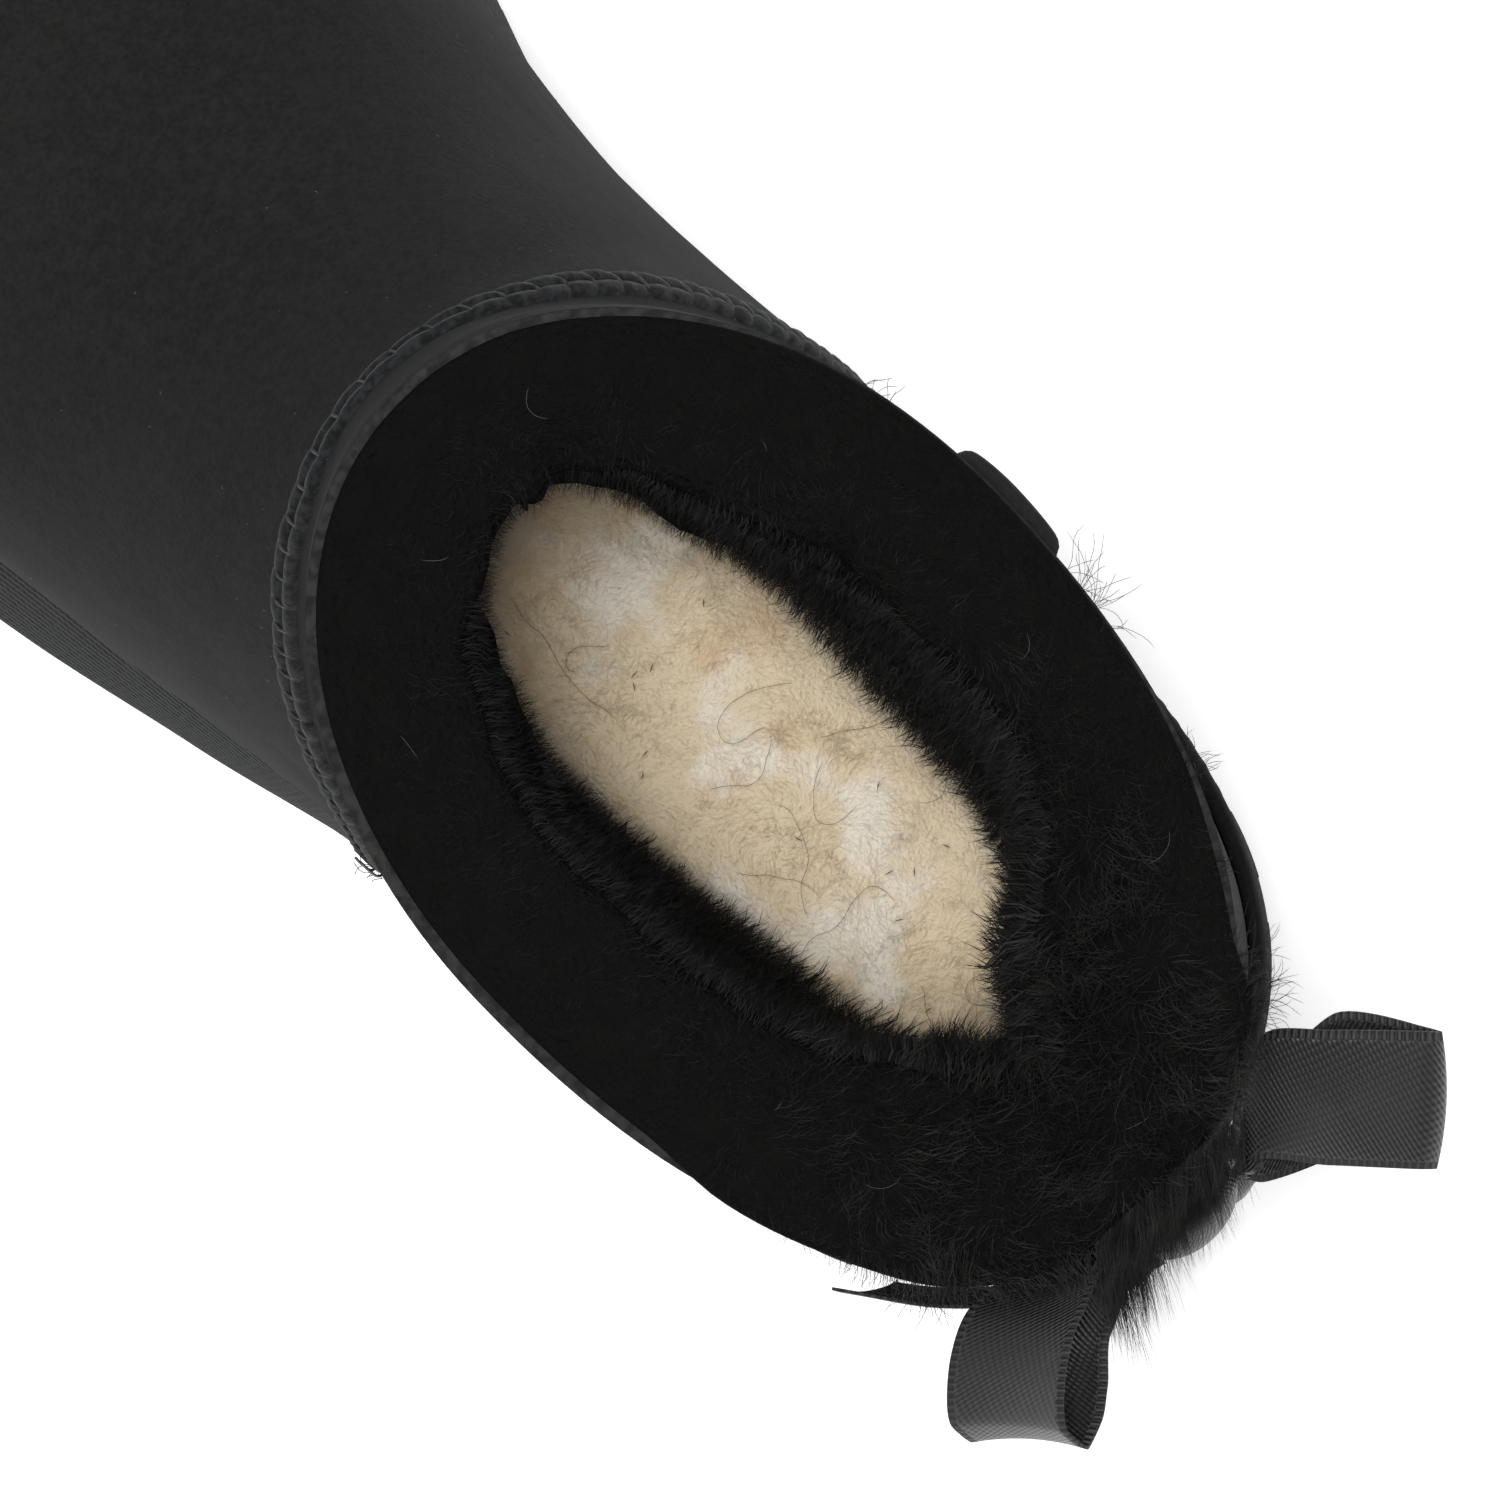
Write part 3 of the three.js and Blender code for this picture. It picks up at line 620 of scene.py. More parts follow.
felt = Finish("fleece_felt", {"Roughness": 1.0, "Specular IOR Level": 0.1, "Sheen Weight": 0.2})
felt.set("Base Color", fleece_colour(felt))
felt.relief(felt.noise(0.5, 6) + felt.noise(2.5, 4) * 0.7, 0.5)
insole_pad = piece("insole_pad", pad_points, pad_faces, felt, "cream_fleece")
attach(insole_pad, "root")
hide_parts("insole")


def wire(tree, kind, settings, sockets):
    """A node of a Geometry Nodes tree, its settings first and then its inputs."""
    made = tree.nodes.new(kind)
    for name, value in settings.items():
        setattr(made, name, value)
    for name, value in sockets.items():
        if isinstance(value, bpy.types.NodeSocket):
            tree.links.new(value, made.inputs[name])
        else:
            made.inputs[name].default_value = value
    return made


def new_tree(name, inputs):
    """An empty tree with a geometry and named inputs coming in, and a geometry going out."""
    tree = bpy.data.node_groups.new(name, "GeometryNodeTree")
    tree.interface.new_socket("Geometry", in_out="OUTPUT", socket_type="NodeSocketGeometry")
    tree.interface.new_socket("Geometry", in_out="INPUT", socket_type="NodeSocketGeometry")
    for label, kind in inputs.items():
        tree.interface.new_socket(label, in_out="INPUT", socket_type=kind)
    return tree, tree.nodes.new("NodeGroupInput").outputs


def grow(name, host, tree, values, finish):
    """Runs a tree on the host and keeps what it makes as a piece of its own."""
    made = bpy.data.objects.new(name, host.data.copy())
    scene.collection.objects.link(made)
    modifier = made.modifiers.new(name, "NODES")
    modifier.node_group = tree
    sockets = {item.name: item.identifier for item in tree.interface.items_tree if item.in_out == "INPUT"}
    for label, value in values.items():
        modifier[sockets[label]] = value
    settle(made)
    made.data.materials.clear()
    made.data.materials.append(finish.material)
    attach(made, "root")
    return made


def blade(name, width, bow, curl, steps=3):
    """One fibre of unit length, standing up from the origin and tapering to a point."""
    points, faces = [], []
    for k in range(steps + 1):
        t = k / steps
        x, z = bow * t * t, t * (1 - 0.35 * bow * t)
        y = curl * math.sin(2.2 * math.pi * t) * 0.5
        if k == steps:
            points.append((x, y, z))
            faces.append((2 * k - 2, 2 * k - 1, 2 * k))
            break
        w = width / 2 * (1 - 0.55 * t)
        points += [(x, y - w, z), (x, y + w, z)]
        if k:
            faces.append((2 * k - 2, 2 * k - 1, 2 * k + 1, 2 * k))
    mesh = bpy.data.meshes.new(name)
    mesh.from_pydata(points, [], faces)
    made = bpy.data.objects.new(name, mesh)
    scene.collection.objects.link(made)
    return made


def pile_tree(name, blades, material):
    """Scatters fibres over the host: thick where its cover attribute is high, each along its comb
    attribute and as long as its reach attribute."""
    inputs = {"Fibres per square metre": "NodeSocketFloat", "Seed": "NodeSocketInt",
              "Shortest": "NodeSocketFloat", "Longest": "NodeSocketFloat"}
    tree, given = new_tree(name, inputs)
    per_metre, seed, shortest, longest = (given[label] for label in inputs)

    def attribute(label, kind):
        return wire(tree, "GeometryNodeInputNamedAttribute", {"data_type": kind}, {"Name": label})

    def chance(kind, low, high):
        ends = {"Seed": seed, low[0]: low[1], high[0]: high[1]}
        return wire(tree, "FunctionNodeRandomValue", {"data_type": kind}, ends)

    cover = attribute("cover", "FLOAT").outputs[0]
    density = wire(tree, "ShaderNodeMath", {"operation": "MULTIPLY"}, {0: cover, 1: per_metre})
    spots = wire(tree, "GeometryNodeDistributePointsOnFaces", {}, {
        "Mesh": given["Geometry"], "Density": density.outputs[0], "Seed": seed})
    comb = attribute("comb", "FLOAT_VECTOR").outputs[0]
    stand = wire(tree, "FunctionNodeAlignRotationToVector", {"axis": "Z"}, {"Vector": comb})
    spin = chance("FLOAT", (2, 0.0), (3, 2 * math.pi))
    turn = wire(tree, "FunctionNodeAxisAngleToRotation", {}, {"Axis": (0, 0, 1), "Angle": spin.outputs[1]})
    rotation = wire(tree, "FunctionNodeRotateRotation", {"rotation_space": "LOCAL"}, {
        0: stand.outputs[0], 1: turn.outputs[0]})
    size = chance("FLOAT", (2, shortest), (3, longest))
    reach = attribute("reach", "FLOAT").outputs[0]
    scale = wire(tree, "ShaderNodeMath", {"operation": "MULTIPLY"}, {0: size.outputs[1], 1: reach})
    kinds = tree.nodes.new("GeometryNodeJoinGeometry")
    for one in reversed(blades):
        info = wire(tree, "GeometryNodeObjectInfo", {}, {"Object": one, "As Instance": True})
        tree.links.new(info.outputs["Geometry"], kinds.inputs[0])
    pick = chance("INT", (4, 0), (5, len(blades) - 1))
    planted = wire(tree, "GeometryNodeInstanceOnPoints", {}, {
        "Points": spots.outputs["Points"], "Instance": kinds.outputs[0], "Pick Instance": True,
        "Instance Index": pick.outputs[2], "Rotation": rotation.outputs[0], "Scale": scale.outputs[0]})
    real = wire(tree, "GeometryNodeRealizeInstances", {}, {"Geometry": planted.outputs[0]})
    done = wire(tree, "GeometryNodeSetMaterial", {}, {"Geometry": real.outputs[0], "Material": material})
    tree.links.new(done.outputs[0], tree.nodes.new("NodeGroupOutput").inputs[0])
    return tree


def host(name, points, faces, comb, reach, cover, finish):
    """A hidden surface that fibres grow from, with where they lean, how long and how thick they are."""
    attributes = {"comb": comb.reshape(-1, 3), "reach": reach.ravel() / 1000, "cover": cover.ravel()}
    return piece(name, points, faces, finish, None, attributes, merge=0, recalc=False)


FLEECE_REACH = 3.0
FLEECE_SEEN_FRONT, FLEECE_SEEN_BACK = 112, 12

# The fibres also glow faintly in their own colour: a painted light that lifts the fleece in the shade of the
# shaft.
fleece_look = {"Roughness": 0.9, "Specular IOR Level": 0.08, "Emission Strength": 0.05}
fleece = Finish("fleece_fibres", fleece_look)
fleece.set("Base Color", fleece_colour(fleece))
fleece.set("Emission Color", fleece_colour(fleece))
pad_flat = pad_top.reshape(-1, 3)
lay = swirl(pad_top, 9, 4) * [1, 1, 0] + swirl(pad_top, 3, 5) * [0.7, 0.7, 0.1]
comb = unit(lay * 2.6 + [0, 0, 0.5])
seen = np.clip((FLEECE_SEEN_FRONT - pad_flat[:, 1]) / 12, 0, 1)
seen = seen * np.clip((pad_flat[:, 1] - FLEECE_SEEN_BACK) / 6, 0, 1)
cover = 0.03 + 0.97 * seen
reach = FLEECE_REACH * (1 + 0.5 * lumps(pad_top, 6, 6))
fleece_faces = grid_faces(INSOLE_ROWS, INSOLE_COLUMNS)
fleece_cover = cover * fullness.ravel()
fleece_host = host("fleece_host", pad_top, fleece_faces, comb, reach, fleece_cover, fleece)
fleece_blades = [blade("lock", 0.022, 0.5, 0.16), blade("lock", 0.017, 0.25, 0.3),
                 blade("lock", 0.024, 0.8, 0.1)]
fleece_tree = pile_tree("fleece_pile", fleece_blades, fleece.material)
fleece_values = {"Fibres per square metre": 6.5e6, "Seed": 11, "Shortest": 0.55, "Longest": 1.1}
grow("insole_fleece", fleece_host, fleece_tree, fleece_values, fleece)
bpy.data.objects.remove(fleece_host)

# ---- Hide ----------------------------------------------------------------------------------------
# The upper is sheepskin with the wool inside: a 2 mm hide with a matt black nubuck face. Its collar is
# cut raw, so the paler core of the hide shows, and its back has a short slit over the bow.

HIDE = 2.0
HIDE_ROWS, HIDE_COLUMNS = 200, 144
SLIT_START, SLIT_HALF = 11.35, 0.075

Crease = namedtuple("Crease", "start middle end depth width")
CREASES = [
    Crease((-36, 176, 44), (4, 181, 82), (42, 174, 44), 0.55, 5.5),        # flex of the toes, front
    Crease((-40, 160, 46), (2, 165, 88), (38, 156, 50), 0.75, 6.0),        # flex of the toes, back
    Crease((-37, 128, 52), (-4, 134, 102), (33, 126, 55), 0.65, 7.5),      # front of the instep
    Crease((-36, 92, 40), (-37, 78, 52), (-35, 58, 47), 0.9, 5.5),         # outer side of the ankle
    Crease((-36, 98, 62), (-37, 80, 72), (-35, 56, 68), 0.6, 6.5),
    Crease((35, 94, 42), (36, 78, 54), (34, 60, 50), 0.9, 5.5),            # inner side of the ankle
    Crease((35, 100, 66), (36, 84, 74), (34, 60, 72), 0.6, 6.5),
    Crease((-22, 12, 78), (0, 5, 74), (22, 12, 79), 0.8, 5.0),             # above the counter
]


def crease_relief(points):
    """How far the creases push each point out: a soft trough with a low ridge on each side."""
    push = np.zeros(len(points))
    for crease in CREASES:
        start, middle, end = (np.array(place, float) for place in crease[:3])
        bend = 2 * middle - (start + end) / 2
        t = np.linspace(0, 1, 33)[:, None]
        line = (1 - t) ** 2 * start + 2 * t * (1 - t) * bend + t**2 * end
        apart = np.linalg.norm(points[:, None] - line[None], axis=2)
        nearest = apart.argmin(axis=1)
        share = nearest / 32
        fade = np.sin(math.pi * np.clip(share, 0, 1)) ** 0.7
        q = apart.min(axis=1) / crease.width
        push -= crease.depth * fade * (1 - 0.9 * q**2) * np.exp(-0.9 * q**2)
    return push


def hide_turns(stations):
    """How far round each section the hide goes, to the foot line or to the slit."""
    slit = SLIT_HALF * np.clip((stations - SLIT_START) / (COLLAR - SLIT_START), 0, 1) ** 0.8
    return np.minimum(foot_turn(stations, 0, GAP), math.pi - slit)


stations = even_stations(HIDE_ROWS, 0, GAP)
slit_rows = np.linspace(SLIT_START, COLLAR, 26)
stations = np.unique(np.concatenate([stations, slit_rows]))
hide_count = len(stations)
turns = hide_turns(stations)[:, None] * np.linspace(-1, 1, HIDE_COLUMNS)[None, :]
station_grid = np.broadcast_to(stations[:, None], turns.shape)
hide_normal = outward(station_grid, turns)
hide_outer = skin(station_grid, turns)
flat = hide_outer.reshape(-1, 3)
push = crease_relief(flat) + 0.28 * lumps(flat, 24, 7) + 0.10 * lumps(flat, 8, 8)
settled = np.clip((flat[:, 2] - sole_top(flat[:, 1])) / 8, 0, 1)
settled = settled * np.clip((COLLAR - station_grid.ravel()) / 0.6, 0.25, 1)
push = (push * settled).reshape(turns.shape)[..., None]
hide_face = hide_outer + hide_normal * push
hide_back = hide_face - hide_normal * HIDE
hide_face[0], hide_back[0] = hide_face[0].mean(axis=0), hide_back[0].mean(axis=0)
edge_levels = []
for angle in np.linspace(0, math.pi, 7)[1:-1]:
    share = (1 - math.cos(angle)) / 2
    ring = hide_face[-1] * (1 - share) + hide_back[-1] * share
    edge_levels.append(ring + np.array([0, 0, 0.35 * math.sin(angle)]))
hide_rows = np.concatenate([hide_face, np.array(edge_levels), hide_back[::-1]])
hide_points = hide_rows.reshape(-1, 3)
hide_faces = grid_faces(len(hide_rows), HIDE_COLUMNS)
last_row = len(hide_rows) - 1
for column in (0, HIDE_COLUMNS - 1):
    for row in range(hide_count - 1):
        ends = [row, row + 1, last_row - row - 1, last_row - row]
        hide_faces.append([k * HIDE_COLUMNS + column for k in ends])
raw = np.zeros(hide_rows.shape[:2])
raw[hide_count:] = 1

nubuck = Finish("nubuck", {"Roughness": 0.9, "Specular IOR Level": 0.07, "Sheen Weight": 0.014})
worn = nubuck.noise(40, 4).ramp(0.35, 0.7)
nap = nubuck.noise(0.55, 4)
raw_edge = nubuck.attribute("raw").part("x")
grain = nap.ramp(0.3, 0.7) * 0.5 + nubuck.noise(1.6, 4).ramp(0.3, 0.7) * 0.3
face_colour = nubuck.blend(worn * 0.3 + grain, grey(0.0072, 0.02), grey(0.0150, 0.02))
core_colour = nubuck.blend(nubuck.noise(1.3, 4).ramp(0.35, 0.65), grey(0.013, 0.0), grey(0.027, 0.02))
nubuck.set("Base Color", nubuck.blend(raw_edge.ramp(0.45, 0.6), face_colour, core_colour))
nubuck.relief(nap * 0.5 + nubuck.noise(0.22, 2) * 0.4 + nubuck.noise(3.5, 3) * 0.5, 0.13)

hide = piece("upper_hide", hide_points, hide_faces, nubuck, "black_hide", {"raw": raw.ravel()}, merge=1e-3)
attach(hide, "root")
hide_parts("upper")

# ---- Wool lining ---------------------------------------------------------------------------------
# The same skin's clipped black wool, inside the hide all the way to the toe. At the collar it puffs
# up over the raw edge, hangs over it at the back and is longest round the heel.

WOOL_ROWS, WOOL_COLUMNS = 90, 176
RIM_STEPS = 13
RIM_RISE = 3.2
WAIST_FILL = 1.5

# Round the collar, in degrees from the front: how deep the wool is in the shaft, how far its edge
# reaches past the outside of the hide and how long its fibres are there.
WoolRow = namedtuple("WoolRow", "turn deep over long")
WOOL_ROUND = [
    WoolRow(-180, 13.5, 2.6, 6.4),
    WoolRow(-165, 16.6, 3.2, 6.2),
    WoolRow(-150, 18.0, 3.0, 5.6),
    WoolRow(-135, 17.8, 1.6, 4.4),
    WoolRow(-120, 16.8, 0.6, 3.4),
    WoolRow(-108, 16.4, -1.2, 2.6),
    WoolRow(-90, 15.9, -1.3, 2.4),
    WoolRow(-75, 15.1, -1.3, 2.2),
    WoolRow(-45, 15.5, -1.1, 2.0),
    WoolRow(-30, 16.6, -1.1, 1.9),
    WoolRow(0, 16.6, -1.1, 1.9),
    WoolRow(8, 18.0, -1.1, 1.9),
    WoolRow(20, 15.6, -1.0, 1.9),
    WoolRow(30, 15.9, -1.0, 2.0),
    WoolRow(45, 16.4, -0.7, 2.1),
    WoolRow(60, 17.6, -0.3, 2.4),
    WoolRow(75, 16.4, -0.2, 2.4),
    WoolRow(90, 15.2, -0.2, 2.6),
    WoolRow(105, 13.8, -0.3, 3.6),
    WoolRow(118, 14.8, -0.5, 5.0),
    WoolRow(132, 18.0, -0.9, 6.4),
    WoolRow(142, 19.4, -0.5, 7.0),
    WoolRow(152, 18.4, 1.6, 7.2),
    WoolRow(165, 16.6, 2.0, 6.6),
    WoolRow(180, 13.5, 2.6, 6.4),
]
wool_round = columns(WOOL_ROUND, "turn")


def back_share(turn):
    """1 at the back of the collar, 0 at its front, and smooth between."""
    t = np.clip((np.abs(turn) - 2.1) / 0.45, 0, 1)
    return t * t * (3 - 2 * t)


wool_stations = even_stations(WOOL_ROWS, -WALL, GAP, first=-0.97)
wool_turn = foot_turn(wool_stations, -WALL, GAP)[:, None] * np.linspace(-1, 1, WOOL_COLUMNS)[None, :]
wool_station = np.broadcast_to(wool_stations[:, None], wool_turn.shape)
wool_normal = outward(wool_station, wool_turn)
shaft_share = np.clip((wool_station - 5) / 3, 0, 1)
depth = WALL + shaft_share * (wool_round["deep"](np.degrees(wool_turn)) - WALL)
depth += WAIST_FILL * np.exp(-((wool_station - 8.2) / 0.9) ** 2)
wool_inner = skin(wool_station, wool_turn) - wool_normal * depth[..., None]
tufts = (lumps(wool_inner, 9, 9) * 1.2 + lumps(wool_inner, 4.5, 10) * 0.9).reshape(wool_turn.shape)
tufts = tufts * (0.35 + 0.65 * np.clip(wool_station - 7.6, 0, 1))
wool_inner = wool_inner - wool_normal * tufts[..., None]
wool_outer = skin(wool_station, wool_turn) - wool_normal * (HIDE + 0.15)
wool_inner[0], wool_outer[0] = wool_inner[0].mean(axis=0), wool_outer[0].mean(axis=0)
rim_turn = wool_turn[-1]
rim_over = wool_round["over"](np.degrees(rim_turn))
rim_outer = skin(COLLAR, rim_turn) + wool_normal[-1] * rim_over[:, None] + [0, 0, 0.7]
rim_rows = []
for angle in np.linspace(0, math.pi, RIM_STEPS + 2)[1:-1]:
    share = (1 - math.cos(angle)) / 2
    ring = wool_inner[-1] * (1 - share) + rim_outer * share + [0, 0, RIM_RISE * math.sin(angle)]
    bump = lumps(ring, 7, 12) * 0.9 + lumps(ring, 3, 13) * 0.5
    rim_rows.append(ring + (bump * math.sin(angle))[:, None] * [0, 0, 1])
rim_rows += [rim_outer, wool_outer[-1] + [0, 0, 0.6]]
wool_rows = np.concatenate([wool_inner, np.array(rim_rows), wool_outer[::-1]])
wool_faces = grid_faces(len(wool_rows), WOOL_COLUMNS)
last_row = len(wool_rows) - 1
for column in (0, WOOL_COLUMNS - 1):
    for row in range(WOOL_ROWS - 1):
        ends = [row, row + 1, last_row - row - 1, last_row - row]
        wool_faces.append([k * WOOL_COLUMNS + column for k in ends])

wool_base = Finish("wool_base", {"Roughness": 1.0, "Specular IOR Level": 0.02})
wool_base.set("Base Color", wool_base.blend(wool_base.noise(2.5, 4), grey(0.0035), grey(0.006, 0.05)))
wool_base.relief(wool_base.noise(0.9, 5) + wool_base.noise(4, 3) * 0.8, 0.9)
lining = piece("wool_lining", wool_rows, wool_faces, wool_base, "black_wool", merge=1e-3)
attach(lining, "root")

wool = Finish("wool_fibres", {"Roughness": 0.62, "Specular IOR Level": 0.18})
wool.set("Base Color", wool.blend(wool.noise(3, 3).ramp(0.3, 0.7), grey(0.0046), grey(0.0135, 0.05)))
wool_blades = [blade("fibre", 0.024, 0.35, 0.1), blade("fibre", 0.018, 0.7, 0.06),
               blade("fibre", 0.026, 0.15, 0.2), blade("fibre", 0.02, 0.5, 0.14)]
wool_tree = pile_tree("wool_pile", wool_blades, wool.material)

first_seen = int(np.searchsorted(wool_stations, 5.6))
shaft_rows = wool_rows[first_seen:WOOL_ROWS + RIM_STEPS + 1]
shaft_normal = unit(np.cross(np.gradient(shaft_rows, axis=1), np.gradient(shaft_rows, axis=0)))
if shaft_normal[10, WOOL_COLUMNS // 2] @ ([0, 62, 0] - shaft_rows[10, WOOL_COLUMNS // 2]) < 0:
    shaft_normal = -shaft_normal
rim_share = np.clip((np.arange(len(shaft_rows)) - len(shaft_rows) + RIM_STEPS + 6) / (RIM_STEPS + 5), 0, 1)
rim_share = np.broadcast_to(rim_share[:, None], shaft_rows.shape[:2])
turn_grid = np.broadcast_to(rim_turn[None, :], shaft_rows.shape[:2])
at_back = back_share(turn_grid)


def laid(points, size, seed):
    return swirl(points, size, seed).reshape(points.shape)


shaft_comb = unit(shaft_normal * (1.25 + 0.5 * (1 - rim_share))[..., None]
                  + 1.3 * laid(shaft_rows, 6, 14) + 0.6 * laid(shaft_rows, 2.4, 15)
                  + [0, 0, -1] * (0.9 * rim_share**3 * at_back)[..., None])
clumps = lumps(shaft_rows, 5, 16).reshape(at_back.shape)
shaft_reach = wool_round["long"](np.degrees(turn_grid)) * (1 + 0.45 * clumps)
over_grid = np.broadcast_to(rim_over[None, :], at_back.shape)
low_down = np.clip((8.6 - wool_stations[first_seen:]) / 1.2, 0, 1)
low_down = np.concatenate([low_down, np.zeros(len(shaft_rows) - len(low_down))])[:, None]
trimmed = np.clip((rim_share - 0.55) * 4, 0, 1) * np.clip(1 - over_grid / 2, 0, 1)
over_rim = np.clip((rim_share - 0.5) * 3, 0, 1)
shaft_reach = shaft_reach * (1 - 0.6 * low_down) * (1 - 0.62 * trimmed) * (1 - 0.3 * over_rim)
shaft_cover = (0.55 + 0.45 * rim_share) * (1 - 0.6 * trimmed * (rim_share > 0.85))
wool_host = host("wool_host", shaft_rows, grid_faces(*shaft_rows.shape[:2]), shaft_comb, shaft_reach,
                 shaft_cover, wool)
for number, seed in enumerate((21, 22, 23)):
    values = {"Fibres per square metre": 2.15e6, "Seed": seed, "Shortest": 0.6, "Longest": 1.1}
    grow(f"wool_pile_{number + 1}", wool_host, wool_tree, values, wool)
bpy.data.objects.remove(wool_host)

# The long lock that hangs from the back of the collar between the loops of the bow.
lock_u, lock_v = np.meshgrid(np.linspace(-1, 1, 60), np.linspace(0, 1, 12))
lock_points = np.stack([8.8 * lock_u + 0.2, 5.6 - 0.2 * lock_u + 2.6 * lock_v, 127 + 4 * lock_v], -1)
lock_lie = np.array([-0.64, -0.68, -0.36]) + 0.22 * laid(lock_points, 3.2, 61)
lock_comb = unit(lock_lie + 0.1 * laid(lock_points, 1, 62))
lock_long = 9.0 * (1 - 0.3 * lock_u) * (1 + 0.35 * lumps(lock_points, 2.6, 63).reshape(lock_u.shape))
lock_cover = np.clip(0.7 + 1.2 * lumps(lock_points, 2.2, 64).reshape(lock_u.shape), 0.08, 1)
lock_host = host("lock_host", lock_points, grid_faces(12, 60), lock_comb, lock_long, lock_cover, wool)
lock_values = {"Fibres per square metre": 13e7, "Seed": 31, "Shortest": 0.55, "Longest": 1.15}
long_blades = [blade("fibre", 0.0075, 0.16, 0.05), blade("fibre", 0.006, 0.3, 0.07)]
long_tree = pile_tree("long_pile", long_blades, wool.material)
grow("wool_lock", lock_host, long_tree, lock_values, wool)
bpy.data.objects.remove(lock_host)

# ---- Front seam ----------------------------------------------------------------------------------
# The vamp and the shaft meet in a raised seam that crosses the front under the collar and runs down
# both sides to the sole: two turned lips with a groove between, whipped together with black thread.

SeamPoint = namedtuple("SeamPoint", "station turn")
SEAM_SIDE = [
    SeamPoint(6.26, 103.9),
    SeamPoint(6.63, 90.5),
    SeamPoint(6.94, 81.2),
    SeamPoint(7.12, 71.8),
    SeamPoint(7.16, 64),
    SeamPoint(7.18, 57),
    SeamPoint(7.24, 45),
    SeamPoint(7.3, 32),
    SeamPoint(7.45, 22.5),
    SeamPoint(7.4, 13),
]
SEAM_FRONT = SeamPoint(7.2, 0)
SEAM_STITCH = 4.1
LIP_RADIUS = 0.98
LIP_APART = 0.95
LIP_STEP = 0.34


def along_skin(places, step):
    """Even steps along the skin through places given as station and turn, with the way out of the
    skin and the way across the line at each."""
    places = np.array(places)
    spans = np.linalg.norm(np.diff(skin(places[:, 0], places[:, 1]), axis=0), axis=1)
    key = np.concatenate([[0], np.cumsum(spans)])
    curve = [smooth(key, places[:, column]) for column in (0, 1)]
    fine = np.linspace(0, key[-1], 2400)
    line = skin(curve[0](fine), curve[1](fine))
    run = np.concatenate([[0], np.cumsum(np.linalg.norm(np.diff(line, axis=0), axis=1))])
    steps = np.interp(np.arange(0, run[-1], step), run, fine)
    station, turn = curve[0](steps), curve[1](steps)
    out = outward(station, turn)
    point = skin(station, turn)
    ahead = unit(np.gradient(point, axis=0))
    return point, out, unit(np.cross(ahead, out)), np.arange(len(steps)) * step


seam_outer = [(spot.station, -math.radians(spot.turn)) for spot in SEAM_SIDE]
seam_inner = [(spot.station, math.radians(spot.turn)) for spot in reversed(SEAM_SIDE)]
seam_places = seam_outer + [SEAM_FRONT] + seam_inner
seam_line, seam_out, seam_across, seam_run = along_skin(seam_places, LIP_STEP)


def rolled(line, out, across, radius, steps=10):
    """A closed tube along a line, wider across than it is high, with rounded ends."""
    radius = radius.copy()
    radius[[0, -1]] *= 0.35
    angle = np.arange(steps) * 2 * math.pi / steps
    ring = across[:, None] * np.cos(angle)[None, :, None] + out[:, None] * np.sin(angle)[None, :, None]
    points = (line[:, None] + ring * radius[:, None, None]).reshape(-1, 3)
    count = len(line)
    faces = grid_faces(count, steps, closed=True)
    faces += [list(range(steps)), [(count - 1) * steps + k for k in reversed(range(steps))]]
    return points, faces


seam_hide = Finish("seam_hide", {"Roughness": 0.85, "Specular IOR Level": 0.12, "Sheen Weight": 0.05})
seam_mottle = seam_hide.noise(0.9, 5).ramp(0.35, 0.68)
seam_hide.set("Base Color", seam_hide.blend(seam_mottle, grey(0.0045, -0.06), grey(0.0165, -0.07)))
seam_hide.relief(seam_hide.noise(0.6, 5) + seam_hide.noise(0.2, 2) * 0.3, 0.12)
wave = np.abs(np.sin(math.pi * seam_run / SEAM_STITCH)) ** 0.6
lip_points, lip_faces = [], []
for side, size in ((-1, 0.9), (1, 1.06)):
    swell = 0.80 + 0.24 * wave + 0.16 * lumps(seam_line, 3.4, 31 + side)
    wander = 0.16 * lumps(seam_line, 5, 41 + side)
    middle = seam_line + seam_across * (side * LIP_APART + wander)[:, None] + seam_out * (0.06 - 0.1 * side)
    points, faces = rolled(middle, seam_out, seam_across, LIP_RADIUS * size * swell)
    lip_faces += [[len(lip_points) + k for k in face] for face in faces]
    lip_points += points.tolist()
front_seam = piece("front_seam", lip_points, lip_faces, seam_hide, "black_hide")
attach(front_seam, "root")

thread = Finish("thread", {"Roughness": 0.55, "Specular IOR Level": 0.4})
twist = thread.noise(0.6, 3).ramp(0.35, 0.7)
thread.set("Base Color", thread.blend(twist, grey(0.006, -0.05), grey(0.03, -0.04)))


def set_tree():
    """Sets a copy of one shape at each point of a mesh, turned to its up and ahead attributes."""
    tree, given = new_tree("set_pieces", {"Shape": "NodeSocketObject", "Material": "NodeSocketMaterial"})

    def direction(label):
        named = wire(tree, "GeometryNodeInputNamedAttribute", {"data_type": "FLOAT_VECTOR"}, {"Name": label})
        return named.outputs[0]

    spots = wire(tree, "GeometryNodeMeshToPoints", {}, {"Mesh": given["Geometry"]})
    rotation = wire(tree, "FunctionNodeAxesToRotation", {}, {
        "Primary Axis": direction("up"), "Secondary Axis": direction("ahead")})
    shape = wire(tree, "GeometryNodeObjectInfo", {}, {"Object": given["Shape"], "As Instance": True})
    placed = wire(tree, "GeometryNodeInstanceOnPoints", {}, {
        "Points": spots.outputs[0], "Instance": shape.outputs["Geometry"], "Rotation": rotation.outputs[0]})
    real = wire(tree, "GeometryNodeRealizeInstances", {}, {"Geometry": placed.outputs[0]})
    done = wire(tree, "GeometryNodeSetMaterial", {}, {
        "Geometry": real.outputs[0], "Material": given["Material"]})
    tree.links.new(done.outputs[0], tree.nodes.new("NodeGroupOutput").inputs[0])
    return tree


SET_TREE = set_tree()


